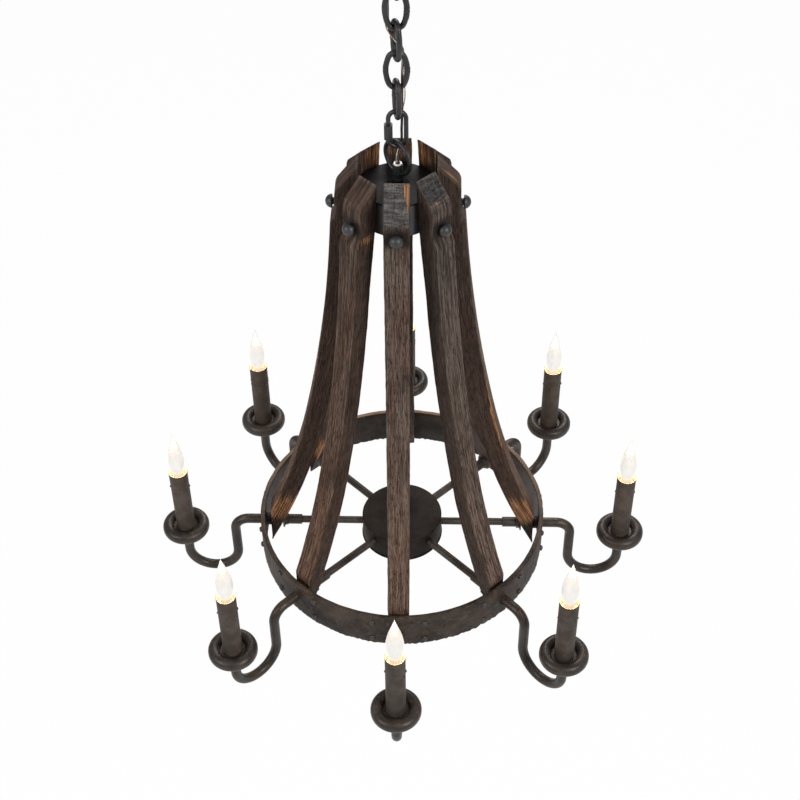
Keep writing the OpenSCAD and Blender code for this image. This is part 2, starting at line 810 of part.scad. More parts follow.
module hub_plate() {
  color(iron)
    translate([0, 0, spoke_z + hub_bottom - sheet_t - seat_gap])
      difference() {
        union() {
          cylinder(r = hub_plate_r, h = sheet_t);
          cylinder(r = hub_r - sheet_t - 0.3, h = sheet_t + 3);
        }
        translate([0, 0, sheet_t]) cylinder(r = hub_r - 2 * sheet_t - 0.3, h = 5);
      }
}

module centre_stem() {
  top = drum_bottom + sheet_t + locknut_t + 1.2;
  bottom = spoke_z + hub_top - sheet_t - locknut_t - 1.2;
  color(iron)
    difference() {
      translate([0, 0, bottom]) cylinder(d = pipe_d, h = top - bottom);
      translate([0, 0, bottom - eps]) cylinder(d = pipe_bore, h = top - bottom + 2 * eps);
    }
}

// One nut under the drum's lid, two on the drum's bottom, two on the hub's top, and one on the
// pipe end inside each stave
module locknuts() {
  bore = pipe_d + 2 * fit_gap;
  hub_lid = spoke_z + hub_top;
  on_stem = [
    drum_top - sheet_t - locknut_t - seat_gap, drum_bottom + sheet_t + seat_gap,
    drum_bottom - locknut_t - seat_gap, hub_lid + seat_gap,
    hub_lid - sheet_t - locknut_t - seat_gap
  ];
  color(iron) {
    for (z = on_stem) translate([0, 0, z]) hex_nut(locknut_flats, locknut_t, bore);
    at_each_arm()
      translate([nut_in_r, 0, 0]) rotate([0, 90, 0])
        hex_nut(locknut_flats, locknut_t - seat_gap, bore);
  }
}

module spokes() {
  color(iron)
    at_each_arm()
      difference() {
        rod(spoke_in_r, coupling_mid_r - 0.5, pipe_d);
        rod(spoke_in_r - 1, coupling_mid_r + 1, pipe_bore);
      }
}

module couplings() {
  color(iron)
    at_each_arm()
      difference() {
        rod(coupling_in_r, coupling_out_r, coupling_d);
        rod(coupling_in_r - 1, coupling_out_r + 1, pipe_d + 2 * fit_gap);
      }
}

module washers() {
  teeth = 10;
  color(steel)
    at_each_arm() {
      difference() {
        rod(washer_in_r + washer_tooth_t, spot_face_r - seat_gap, washer_d);
        rod(washer_in_r - 1, spot_face_r + 1, pipe_d + 2 * fit_gap);
      }
      difference() {
        rod(washer_in_r, washer_in_r + washer_tooth_t - seat_gap, tooth_washer_d);
        rod(washer_in_r - 1, washer_in_r + 3, pipe_d + 2 * fit_gap);
        for (k = [0:teeth - 1])
          rotate([k * 360 / teeth, 0, 0]) translate([washer_in_r + 1, 0, tooth_washer_d / 2])
            cube([4, 1.6, 3.4], center = true);
      }
    }
}

// ---- Arms and candles ----

// Centre line of an arm as a round bar: out through the hoop, down, round the U and up
module arm_bar(d, x_start, z_end) {
  bend_x = limb_r - arm_bend_r;
  rod(x_start, bend_x, d);
  translate([bend_x, 0, -arm_bend_r]) rotate([90, 0, 0])
    rotate_extrude(angle = 90) translate([arm_bend_r, 0]) circle(d = d);
  translate([limb_r, 0, arm_u_z]) cylinder(d = d, h = arm_drop);
  translate([limb_r + arm_u_r, 0, arm_u_z]) rotate([90, 0, 0]) rotate([0, 0, 180])
    rotate_extrude(angle = 180) translate([arm_u_r, 0]) circle(d = d);
  translate([candle_circle_r, 0, arm_u_z]) cylinder(d = d, h = z_end - arm_u_z);
}

module arm(i) {
  pan_under = pan_floor - pan_t - seat_gap;
  color(iron)
    at_arm(i)
      difference() {
        union() {
          arm_bar(arm_d, hoop_r + seat_gap, pan_under);
          rod(coupling_mid_r + 0.5, hoop_r + 8, pipe_d);
          translate([candle_circle_r, 0, pan_under - 8])
            cylinder(d = tip_d, h = tip_top - pan_under + 8);
        }
        arm_bar(arm_bore, hoop_r + 6, pan_under - 6);
        rod(coupling_mid_r - 1, hoop_r + 6 + eps, pipe_bore);
        translate([candle_circle_r, 0, pan_under - 6 - eps])
          cylinder(d = pipe_bore, h = tip_top - pan_under + 10);
      }
}

// Upright oval with straight sides, shrunk by a wall
module brim_oval(wall) {
  r = pan_brim_w / 2 - wall;
  side = (pan_brim_h - pan_brim_w) / 2;
  for (z = [-side, side]) translate([0, z]) circle(r = r);
  translate([-r, -side]) square([2 * r, 2 * side]);
}

// The sheet of a pan: a flat floor that the sleeve stands on, and a brim that rises round it,
// rolls over and curls under at its outer edge
module pan_section() {
  brim_x = (pan_d - pan_brim_w) / 2;
  foot = -pan_brim_h / 2 - brim_sink - eps;
  difference() {
    translate([brim_x, -brim_sink])
      difference() {
        brim_oval(0);
        brim_oval(pan_t);
      }
    translate([0, foot]) square([brim_x + pan_t, -pan_t - foot]);
  }
  translate([tip_d / 2 + fit_gap, -pan_t])
    square([brim_x - pan_brim_w / 2 + pan_t - tip_d / 2 - fit_gap, pan_t]);
}

module drip_pans() {
  color(iron)
    at_each_arm()
      translate([candle_circle_r, 0, pan_floor]) rotate_extrude() pan_section();
}

module candle_sleeves() {
  color(sleeve_brown)
    at_each_arm()
      translate([candle_circle_r, 0, pan_floor + seat_gap])
        difference() {
          cylinder(d = sleeve_d, h = sleeve_l);
          translate([0, 0, -eps]) cylinder(d = sleeve_d - 2 * sleeve_t, h = sleeve_l + 2 * eps);
        }
}

module lamp_sockets() {
  foot = pan_floor + seat_gap;
  foot_h = 11;
  post_d = 8;
  color(porcelain)
    at_each_arm()
      translate([candle_circle_r, 0, 0])
        difference() {
          union() {
            translate([0, 0, foot]) cylinder(d = 14, h = foot_h);
            translate([0, 0, foot + foot_h - eps])
              cylinder(d = post_d, h = socket_top - socket_l - foot - foot_h + 2 * eps);
            translate([0, 0, socket_top - socket_l]) cylinder(d = socket_d, h = socket_l);
          }
          translate([0, 0, foot - eps]) cylinder(d = tip_d + 2 * fit_gap, h = tip_top - foot + 1);
          translate([0, 0, foot]) cylinder(d = wire_d + 0.6, h = socket_top - socket_l - foot + 6);
          translate([0, 0, socket_top - bulb_base_l - 3])
            cylinder(d = socket_bore_d, h = bulb_base_l + 10);
        }
}

// Half outline of a bulb's glass from its neck up to near the tip, shrunk by a wall
function glass_outline(wall) = concat(
  [for (k = [0:4])
    [bulb_neck_r + (bulb_d / 2 - bulb_neck_r) * pow(sin(90 * k / 5), 2) - wall,
      bulb_foot + (sleeve_rim + bulb_wide_rise - bulb_foot) * k / 5]],
  [for (k = [0:10])
    let (u = k / 11)
    [bulb_d / 2 * pow(cos(90 * u), 1.2) - wall,
      sleeve_rim + bulb_wide_rise + (bulb_rise - bulb_wide_rise) * u]]
);

module bulb(i) {
  tip_z = sleeve_rim + bulb_rise;
  outer = glass_outline(0);
  inner = [for (q = glass_outline(glass_t)) if (q[0] > 0.6) q];
  at_arm(i)
    translate([candle_circle_r, 0, 0]) {
      color(clear_glass)
        rotate_extrude()
          polygon(concat(
            outer, [[0, tip_z], [0, inner[len(inner) - 1][1] + 1]],
            [for (k = [len(inner) - 1:-1:0]) inner[k]]
          ));
      color(brass) {
        translate([0, 0, bulb_foot - bulb_base_l]) cylinder(d = bulb_base_d, h = bulb_base_l + 3);
        translate([0, 0, bulb_foot - bulb_base_l - 1]) cylinder(d = 5, h = 2);
        translate([0, 0, bulb_foot]) cylinder(r = bulb_neck_r - glass_t - seat_gap, h = 3);
      }
    }
}

// Cable down the centre stem, and a lamp wire from the hub through each spoke and arm
module inner_wires() {
  stem_top = drum_bottom + 14;
  stem_bottom = spoke_z + 6;
  color(cord_brown) {
    translate([0, 0, stem_bottom]) cylinder(d = 4.6, h = stem_top - stem_bottom);
    at_each_arm() arm_bar(wire_d, 6, socket_top - socket_l + 4);
  }
}

ceiling_bracket();
canopy_nipple();
nipple_locknut();
canopy();
canopy_loop();
canopy_ring();
for (i = [1:5]) chain_link(i);
quick_link();
quick_link_nut();
supply_cord();
ground_wire();
hang_loop();
loop_bushing();
loop_collar();
top_drum();
drum_lid();
centre_stem();
locknuts();
inner_wires();
stave_bolts();
cap_nuts();
hoop();
hoop_rivets();
spacers();
hub_body();
hub_plate();
spokes();
couplings();
washers();
drip_pans();
candle_sleeves();
lamp_sockets();
for (i = [1:8]) stave(i);
for (i = [1:8]) arm(i);
for (i = [1:8]) bulb(i);
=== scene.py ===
"""A chandelier of eight oak barrel staves, bolted round an iron drum and stood off an iron hoop.

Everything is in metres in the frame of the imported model: the origin is in the middle of the
ceiling bracket and the fixture hangs below it. The sections follow the fixture as it is put
together, from the ceiling down.
"""

import math

import bmesh
import bpy
import numpy as np
from mathutils import Matrix, Vector, noise


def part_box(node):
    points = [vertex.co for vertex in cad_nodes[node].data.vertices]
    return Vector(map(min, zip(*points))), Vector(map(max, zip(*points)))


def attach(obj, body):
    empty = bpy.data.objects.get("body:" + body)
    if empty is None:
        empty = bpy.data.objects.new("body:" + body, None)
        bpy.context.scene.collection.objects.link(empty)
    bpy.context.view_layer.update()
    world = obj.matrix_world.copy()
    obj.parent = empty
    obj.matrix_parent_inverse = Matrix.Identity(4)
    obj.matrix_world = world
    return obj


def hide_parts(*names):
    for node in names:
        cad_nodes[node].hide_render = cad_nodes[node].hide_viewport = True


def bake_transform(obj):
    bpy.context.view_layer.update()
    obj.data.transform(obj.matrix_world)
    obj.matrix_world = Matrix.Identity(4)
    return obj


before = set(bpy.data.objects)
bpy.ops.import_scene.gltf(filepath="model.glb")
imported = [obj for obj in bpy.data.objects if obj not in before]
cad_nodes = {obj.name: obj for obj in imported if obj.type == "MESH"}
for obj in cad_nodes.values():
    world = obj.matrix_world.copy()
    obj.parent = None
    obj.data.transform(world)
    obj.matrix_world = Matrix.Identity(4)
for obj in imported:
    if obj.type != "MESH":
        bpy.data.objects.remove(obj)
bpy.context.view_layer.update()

# ---- Camera, studio and lamps ----
# The camera stands in front of the fixture and above its ceiling plate, looking down at it. The
# studio is a pale floor under a white sky, with soft lamps on the right, left and behind.

MM = 0.001
camera = bpy.data.objects.new("camera", bpy.data.cameras.new("camera"))
bpy.context.scene.collection.objects.link(camera)
camera.location = (45.6346 * MM, -1320.0115 * MM, 606.0 * MM)
camera.rotation_euler = (0.8122357726, 0.0092479279, 0.0263171289)
camera.data.sensor_width = 36.0
camera.data.lens = 1494.7 / 800 * 36.0
camera.data.clip_start, camera.data.clip_end = 0.05, 60.0
bpy.context.scene.camera = camera
bpy.context.scene.view_settings.view_transform = "Standard"


class Socket:
    """A value in a node tree that can stand in a Python sum, which then adds its Math nodes."""

    def __init__(self, wiring, socket):
        self.wiring, self.socket = wiring, socket

    def maths(self, operation, first, second=0.0):
        return self.wiring.node("ShaderNodeMath", {"operation": operation}, {0: first, 1: second})

    def __add__(self, other):
        return self.maths("ADD", self, other)

    def __sub__(self, other):
        return self.maths("SUBTRACT", self, other)

    def __rsub__(self, other):
        return self.maths("SUBTRACT", other, self)

    def __mul__(self, other):
        return self.maths("MULTIPLY", self, other)

    def __truediv__(self, other):
        return self.maths("DIVIDE", self, other)

    __radd__, __rmul__ = __add__, __mul__

    def most(self, other):
        return self.maths("MAXIMUM", self, other)

    def sine(self):
        return self.maths("SINE", self)

    def step(self, low, high):
        """0 below low and 1 above high, smooth in between; low may be the larger."""
        if low > high:
            return 1.0 - self.step(high, low)
        return self.wiring.node("ShaderNodeMapRange", {"interpolation_type": "SMOOTHSTEP"},
                                {"Value": self, "From Min": low, "From Max": high})


class Wiring:
    """Adds nodes to one tree."""

    def __init__(self, tree):
        self.tree = tree

    def node(self, kind, settings=None, inputs=None, outlet=0):
        made = self.tree.nodes.new(kind)
        for name, value in (settings or {}).items():
            if name == "stops":
                for k, (place, colour) in enumerate(value):
                    stop = (made.color_ramp.elements[k] if k < 2
                            else made.color_ramp.elements.new(place))
                    stop.position, stop.color = place, (*colour, 1.0)
            else:
                setattr(made, name, value)
        for key, value in (inputs or {}).items():
            if isinstance(value, Socket):
                self.tree.links.new(value.socket, made.inputs[key])
            else:
                made.inputs[key].default_value = value
        return Socket(self, made.outputs[outlet])

    def point(self, x, y, z):
        return self.node("ShaderNodeCombineXYZ", None, {0: x, 1: y, 2: z})

    def mixed(self, share, under, over):
        """The colour `under` with `over` laid on it."""
        full = [v if isinstance(v, Socket) or len(v) == 4 else (*v, 1.0) for v in (under, over)]
        return self.node("ShaderNodeMix", {"data_type": "RGBA"},
                         {0: share, 6: full[0], 7: full[1]}, 2)


class Finish(Wiring):
    """A material with one Principled shader, whose fixed values are set on its own sockets."""

    def __init__(self, name, **fixed):
        self.material = bpy.data.materials.new(name)
        self.material.use_nodes = True
        super().__init__(self.material.node_tree)
        self.tree.nodes.clear()
        self.shader = self.tree.nodes.new("ShaderNodeBsdfPrincipled")
        self.output = self.tree.nodes.new("ShaderNodeOutputMaterial")
        self.tree.links.new(self.shader.outputs[0], self.output.inputs["Surface"])
        for key, value in fixed.items():
            self.inlet(key).default_value = value

    def inlet(self, key):
        """The shader's socket for a Python name, such as base_color."""
        return self.shader.inputs[key.replace("_", " ").title().replace("Ior", "IOR")]

    def place(self, scale=(1.0, 1.0, 1.0), of=None, turn=(0.0, 0.0, 0.0)):
        """Object coordinates, or another vector, turned and stretched."""
        return self.node("ShaderNodeMapping", None, {
            "Vector": of or self.node("ShaderNodeTexCoord", None, None, 3),
            "Rotation": turn, "Scale": scale})

    def cloud(self, place, scale, detail=3.0, rough=0.55, bend=0.0):
        """Smooth noise between 0 and 1, of so many features a metre."""
        return self.node("ShaderNodeTexNoise", None, {
            "Vector": place, "Scale": scale, "Detail": detail, "Roughness": rough,
            "Distortion": bend})

    def mark(self, name, outlet=2):
        """A value that the mesh carries at each of its points."""
        return self.node("ShaderNodeAttribute", {"attribute_name": name}, None, outlet)

    def relief(self, height, depth, under=None):
        """A bump of that depth in metres."""
        inputs = {"Height": height, "Distance": depth, "Strength": 1.0}
        if under:
            inputs["Normal"] = under
        return self.node("ShaderNodeBump", None, inputs)

    def set(self, **wanted):
        """Links what changes over the surface and hands back the material."""
        for key, value in wanted.items():
            self.tree.links.new(value.socket, self.inlet(key))
        return self.material


floor_half, floor_z = 16, -2.35
floor_mesh = bpy.data.meshes.new("floor")
floor_mesh.from_pydata([(x * floor_half, y * floor_half, floor_z)
                        for x, y in ((-1, -1), (1, -1), (1, 1), (-1, 1))], [], [(0, 1, 2, 3)])
floor = bpy.data.objects.new("floor", floor_mesh)
bpy.context.scene.collection.objects.link(floor)

pale = Finish("pale floor", roughness=0.9, base_color=(0.90, 0.90, 0.90, 1))
seen = pale.node("ShaderNodeLightPath")
rays = Socket(pale, seen.socket.node.outputs["Is Camera Ray"])
for ray in ("Is Glossy Ray", "Is Transmission Ray"):
    rays = rays.most(Socket(pale, seen.socket.node.outputs[ray]))
glow = pale.node("ShaderNodeEmission", None, {"Color": (1, 1, 1, 1), "Strength": 1.0})
pale.tree.links.new(
    pale.node("ShaderNodeMixShader", None,
              {0: rays * 0.97, 1: Socket(pale, pale.shader.outputs[0]), 2: glow}).socket,
    pale.output.inputs["Surface"])
floor.data.materials.append(pale.material)

sky = bpy.data.worlds.new("studio")
sky.use_nodes = True
bpy.context.scene.world = sky
sky_nodes = Wiring(sky.node_tree)
sky.node_tree.nodes.clear()
seen = sky_nodes.node("ShaderNodeLightPath")
rays = Socket(sky_nodes, seen.socket.node.outputs["Is Camera Ray"])
sky_glow = sky_nodes.node("ShaderNodeBackground", None, {
    "Color": (1, 1, 1, 1), "Strength": rays * 0.6 + 0.4})
sky.node_tree.links.new(
    sky_glow.socket, sky.node_tree.nodes.new("ShaderNodeOutputWorld").inputs[0])


def lamp_at(place, name, kind, watts, colour=(1, 1, 1)):
    """A lamp of the studio or in a bulb, put in its place in metres."""
    light = bpy.data.lights.new(name, kind)
    light.energy, light.color = watts, colour
    lamp = bpy.data.objects.new(name, light)
    bpy.context.scene.collection.objects.link(lamp)
    lamp.location = place
    return lamp


def soft_lamp(name, place, size, watts, aim=(0, 0, -0.7)):
    """A square lamp turned towards the middle of the fixture."""
    lamp = lamp_at(place, name, "AREA", watts)
    lamp.data.shape, lamp.data.size = "SQUARE", size
    lamp.rotation_euler = (Vector(aim) - Vector(place)).to_track_quat("-Z", "Y").to_euler()


soft_lamp("key lamp", (1.6, -1.8, 0.8), 0.8, 52)
soft_lamp("fill lamp", (-1.9, -1.4, 0.5), 1.0, 33)
soft_lamp("back lamp", (0.3, 2.0, 0.9), 1.0, 30)

# ---- Ceiling bracket, nipple, canopy and canopy loop ----
# The bracket is a cranked steel strap screwed to the ceiling box, and the canopy is a spun iron
# dish held up by a ring on the threaded body of its loop. None of it is in the picture.

EDGE = math.radians(38)


def plain_mesh(name, points, faces):
    """A mesh whose points are given in millimetres."""
    mesh = bpy.data.meshes.new(name)
    mesh.from_pydata([tuple(v * MM for v in p) for p in points], [], faces)
    return mesh


def welded(name, points, faces):
    """A closed mesh in millimetres, with its doubles merged and its faces outward."""
    mesh = plain_mesh(name, points, faces)
    work = bmesh.new()
    work.from_mesh(mesh)
    bmesh.ops.remove_doubles(work, verts=work.verts, dist=0.002 * MM)
    bmesh.ops.recalc_face_normals(work, faces=work.faces)
    work.to_mesh(mesh)
    work.free()
    return mesh


def solid_piece(name, points, faces, material, body, replaced=(), edge=EDGE):
    """A welded mesh as a piece that rides on a body."""
    return dressed(name, welded(name, points, faces), material, body, replaced, edge)


def dressed(name, mesh, material, body, replaced=(), edge=EDGE):
    """Makes a mesh a piece: smooth shading up to an angle, one material, and its body."""
    mesh.name = name
    mesh.shade_smooth()
    mesh.set_sharp_from_angle(angle=edge)
    mesh.materials.clear()
    mesh.materials.append(material)
    piece = bpy.data.objects.new(name, mesh)
    bpy.context.scene.collection.objects.link(piece)
    if body:
        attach(piece, body)
    if replaced:
        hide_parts(*replaced)
    return piece


def eased_copy(node, material, body, ease):
    """A CAD node's own shape, welded, with its edges eased by a small bevel."""
    work = bmesh.new()
    work.from_mesh(cad_nodes[node].data)
    bmesh.ops.remove_doubles(work, verts=work.verts, dist=0.004 * MM)
    bmesh.ops.dissolve_limit(work, angle_limit=math.radians(1.2), verts=work.verts,
                             edges=work.edges)
    mesh = bpy.data.meshes.new(node)
    work.to_mesh(mesh)
    work.free()
    for layer in list(mesh.uv_layers):
        mesh.uv_layers.remove(layer)
    piece = dressed(node + "_finished", mesh, material, body, (node,))
    if ease:
        bevel = piece.modifiers.new("eased edges", "BEVEL")
        bevel.width, bevel.segments, bevel.angle_limit = ease * MM, 2, math.radians(40)
        bevel.limit_method, bevel.use_clamp_overlap = "ANGLE", True
    return piece


def zinc_finish():
    """Zinc plate: pale grey, a little cloudy, with fine scratches."""
    zinc = Finish("zinc plate", metallic=1.0)
    place = zinc.place()
    cloudy = zinc.cloud(place, 260.0, 4.0)
    scratch = zinc.cloud(zinc.place((900, 60, 60)), 4.0, 2.0)
    tone = zinc.mixed(cloudy.step(0.35, 0.7), (0.30, 0.30, 0.30), (0.48, 0.47, 0.45))
    return zinc.set(
        base_color=zinc.mixed(scratch.step(0.58, 0.72) * 0.4, tone, (0.16, 0.15, 0.14)),
        roughness=cloudy * 0.25 + 0.28, normal=zinc.relief(scratch, 0.00004))


def iron_finish(name, dark, light, worn, rough, grain=0.00006, dents=0.0, wear=0.5, shine=0.28):
    """Painted wrought iron: a satin coat over a faintly dented skin, worn brown in places.

    A mesh may carry a mark along its edges, where it is worn through to brown and given a painted
    highlight."""
    iron = Finish(name, metallic=0.15, specular_ior_level=shine)
    place = iron.place()
    broad = iron.cloud(place, 34.0, 5.0, 0.6)
    fine = iron.cloud(place, 720.0, 4.0, 0.7)
    patch = iron.cloud(place, 95.0, 6.0, 0.65, 0.6)
    rubbed_and_highlit = iron.mark("rubbed_and_highlit_edge")
    tone = iron.mixed(broad.step(0.34, 0.68), dark, light)
    tone = iron.mixed(patch.step(0.52, 0.74) * wear, tone, worn)
    tone = iron.mixed(fine.step(0.52, 0.72) * 0.6, tone, tuple(0.35 * v for v in dark))
    # Brown along the marked edge: rubbed wear with a painted highlight.
    tone = iron.mixed((rubbed_and_highlit + (patch - 0.5) * 0.8 * rubbed_and_highlit).step(0.15, 0.9), tone,
                      tuple(2.2 * v for v in worn))
    skin = iron.relief(fine, grain)
    if dents:
        skin = iron.relief(patch, dents, skin)
    return iron.set(base_color=tone, roughness=patch * 0.22 + fine * 0.10 + (rough - 0.16),
                    normal=skin)


zinc_plate = zinc_finish()
dark_iron = iron_finish("dark bronze iron", (0.030, 0.026, 0.023), (0.050, 0.044, 0.039),
                        (0.085, 0.060, 0.043), rough=0.50)
for node in ("ceiling_bracket", "canopy_nipple", "nipple_locknut"):
    eased_copy(node, zinc_plate, "ceiling_fitting", 0.3)
for node in ("canopy", "canopy_loop", "canopy_ring"):
    eased_copy(node, dark_iron, "ceiling_fitting", 0.4)

# ---- Chain links ----
# Five links bent from round iron bar and welded shut, their skin hammered lumpy, in black paint.
# Each hangs about a quarter turn from the next, with a small ridge of weld half way down a side.

black_chain = iron_finish("black chain paint", (0.006, 0.006, 0.007), (0.020, 0.020, 0.022),
                          (0.052, 0.046, 0.042), rough=0.42, grain=0.00008, dents=0.0006, wear=0.4,
                          shine=0.5)
link_wire, link_length, link_width, link_end = 6.2, 46.4, 27.7, 8.6
lump_room, lump_height, weld_edge = 0.25, 0.0004, math.radians(80)
link_tops = (-66.9, -100.6, -134.3, -168.0, -201.7)
link_yaws = (-74, 2, -71, 2, -77)


def new_tree(name, sizes):
    """A Geometry Nodes tree with a geometry input and one named input for each size."""
    tree = bpy.data.node_groups.new(name, "GeometryNodeTree")
    tree.interface.new_socket(name="Geometry", in_out="INPUT", socket_type="NodeSocketGeometry")
    tree.interface.new_socket(name="Geometry", in_out="OUTPUT", socket_type="NodeSocketGeometry")
    for title, kind in sizes.items():
        tree.interface.new_socket(name=title, in_out="INPUT", socket_type="NodeSocket" + kind)
    wiring = Wiring(tree)
    inlet = tree.nodes.new("NodeGroupInput")
    return wiring, {s.name: Socket(wiring, s) for s in inlet.outputs if s.name}


def close_tree(wiring, geometry):
    """Realizes what the tree made, gives it its material and ends the tree."""
    real = wiring.node("GeometryNodeRealizeInstances", None, {"Geometry": geometry})
    inlet = next(n for n in wiring.tree.nodes if n.bl_idname == "NodeGroupInput")
    painted = wiring.node("GeometryNodeSetMaterial", None, {
        "Geometry": real, "Material": Socket(wiring, inlet.outputs["Material"])})
    outlet = wiring.tree.nodes.new("NodeGroupOutput")
    wiring.tree.links.new(painted.socket, outlet.inputs[0])
    return wiring.tree


def grown(name, tree, start, **sizes):
    """The plain mesh that a tree makes of a start mesh, with its named inputs set."""
    seed = bpy.data.objects.new(name + " seed", start or bpy.data.meshes.new(name + " seed"))
    bpy.context.scene.collection.objects.link(seed)
    growth = seed.modifiers.new("growth", "NODES")
    growth.node_group = tree
    idents = {s.name: s.identifier for s in tree.interface.items_tree if s.in_out == "INPUT"}
    for title, value in sizes.items():
        growth[idents[title.replace("_", " ").capitalize()]] = value
    bpy.context.view_layer.update()
    mesh = bpy.data.meshes.new_from_object(
        seed.evaluated_get(bpy.context.evaluated_depsgraph_get()))
    seed.modifiers.clear()
    bpy.data.objects.remove(seed)
    return mesh


def link_tree():
    """A bowed oval of round bar, lumpy and with a weld, standing in its place in the chain."""
    link, given = new_tree("link", {
        "Width": "Float", "Length": "Float", "End radius": "Float", "Wire": "Float",
        "Height": "Float", "Yaw": "Float", "Lumps": "Float", "Weld": "Float", "Seed": "Float",
        "Material": "Material"})
    end = given["End radius"]
    half_wide = (given["Width"] - given["Wire"]) * 0.5
    end_high = (given["Length"] - given["Wire"]) * 0.5 - end
    side = (half_wide * half_wide + end_high * end_high - end * end) / ((half_wide - end) * 2.0)
    round_line = link.node("GeometryNodeCurvePrimitiveCircle", None, {
        "Resolution": 320, "Radius": 1.0})
    spot = link.node("GeometryNodeInputPosition")
    x, y = (link.node("ShaderNodeSeparateXYZ", None, {0: spot}, k) for k in (0, 1))
    on_end = x.maths("GREATER_THAN", x.maths("ABSOLUTE", y), end_high / (side - end))
    end_x, end_y = x * end, y * end + x.maths("SIGN", y) * end_high
    side_x, side_y = x * side - x.maths("SIGN", x) * (side - half_wide), y * side
    oval = link.node("GeometryNodeSetPosition", None, {
        "Geometry": round_line, "Position": link.point(
            side_x + on_end * (end_x - side_x), 0.0, side_y + on_end * (end_y - side_y))})
    oval = link.node("GeometryNodeResampleCurve", None, {"Curve": oval, "Count": 150})
    bar = link.node("GeometryNodeCurvePrimitiveCircle", None, {
        "Resolution": 22, "Radius": given["Wire"] * 0.5})
    skin = link.node("GeometryNodeCurveToMesh", None, {"Curve": oval, "Profile Curve": bar})
    spot = link.node("GeometryNodeInputPosition")
    x, z = (link.node("ShaderNodeSeparateXYZ", None, {0: spot}, k) for k in (0, 2))
    shift = link.point(given["Seed"], given["Seed"] * 3.0, 0.0)
    shifted = link.node("ShaderNodeVectorMath", {"operation": "ADD"}, {0: spot, 1: shift})
    lumps = link.node("ShaderNodeTexNoise", None, {
        "Vector": shifted, "Scale": 130.0, "Detail": 2.0, "Roughness": 0.5})
    welded = x.maths("SIGN", x * given["Weld"]).most(0.0)
    ridge = z.maths("EXPONENT", z * z * -120000.0) * welded
    groove = z.maths("EXPONENT", z * z * -2400000.0) * welded
    height = (lumps - 0.5) * given["Lumps"] * 2.0 + ridge * 0.00035 - groove * 0.0007
    out = link.node("ShaderNodeVectorMath", {"operation": "SCALE"}, {
        0: link.node("GeometryNodeInputNormal"), "Scale": height})
    skin = link.node("GeometryNodeSetPosition", None, {"Geometry": skin, "Offset": out})
    skin = link.node("GeometryNodeTransform", None, {
        "Geometry": skin, "Translation": link.point(0.0, 0.0, given["Height"]),
        "Rotation": link.point(0.0, 0.0, given["Yaw"])})
    return close_tree(link, skin)


chain_tree = link_tree()
for k, (top, yaw) in enumerate(zip(link_tops, link_yaws), 1):
    link_mesh = grown(
        f"chain link {k}", chain_tree, None, width=link_width * MM,
        length=link_length * MM, end_radius=link_end * MM, wire=(link_wire - lump_room) * MM,
        height=(top - (link_length - link_wire) / 2) * MM, yaw=math.radians(yaw),
        lumps=lump_height, weld=-1.0 if k % 2 else 1.0, seed=0.37 * k, material=black_chain)
    dressed(f"chain_link_{k}_hammered", link_mesh, black_chain, f"link_{k}",
            (f"chain_link_{k}",), weld_edge)

# ---- Quick link and its nut ----
# A C of round steel wire whose gap is closed by a long hex nut on its thread, painted black. The
# nut's corners are chamfered at both ends and its bore shows the wire going in.

black_steel = iron_finish("black steel", (0.006, 0.006, 0.007), (0.017, 0.018, 0.020),
                          (0.060, 0.054, 0.050), rough=0.40, grain=0.00004, dents=0.0003,
                          wear=0.35, shine=0.5)
quick_wire, quick_length, quick_width, quick_yaw = 5.0, 48.0, 23.6, 2.0
quick_middle = -257.5
quick_side = (quick_width - quick_wire) / 2


def arc(x, z, radius, start, end, count):
    """Points (x, z) along a part of a circle round (x, z), from one angle to another."""
    return [(x + radius * math.cos(a), z + radius * math.sin(a))
            for a in np.linspace(start, end, count)]


def upright(points):
    """Points (x, z) stood in the plane of X and Z."""
    return [(x, 0, z) for x, z in points]


def tube_faces(rings, sides, closed=False):
    """The faces of a tube of so many rings; one that isn't closed on itself gets two ends."""
    faces = []
    for i in range(rings if closed else rings - 1):
        a, b = i * sides, (i + 1) % rings * sides
        faces += [(a + k, a + (k + 1) % sides, b + (k + 1) % sides, b + k) for k in range(sides)]
    if not closed:
        faces += [tuple(range(sides))[::-1], tuple((rings - 1) * sides + k for k in range(sides))]
    return faces


def turned_faces(n, steps):
    """The faces of an outline of n points, closed on itself, turned round in so many steps."""
    return [(i * n + k, (i + 1) % steps * n + k, (i + 1) % steps * n + (k + 1) % n,
             i * n + (k + 1) % n) for i in range(steps) for k in range(n)]


def ring_round(path, radius, sides, closed=False):
    """Points and faces of a tube along a path in millimetres."""
    path = [Vector(p) for p in path]
    n = len(path)
    points, across = [], None
    for i, p in enumerate(path):
        along = (path[(i + 1) % n if closed else min(i + 1, n - 1)]
                 - path[(i - 1) % n if closed else max(i - 1, 0)]).normalized()
        if across is None:
            across = along.orthogonal().normalized()
        across = (across - along * across.dot(along)).normalized()
        up = along.cross(across)
        for k in range(sides):
            a = 2 * math.pi * k / sides
            points.append(p + (across * math.cos(a) + up * math.sin(a)) * radius)
    return points, tube_faces(n, sides, closed)


def stand(points, yaw, height):
    """Points turned round Z by yaw degrees and lifted to a height."""
    turn = Matrix.Rotation(math.radians(yaw), 3, "Z")
    return [turn @ Vector(p) + Vector((0, 0, height)) for p in points]


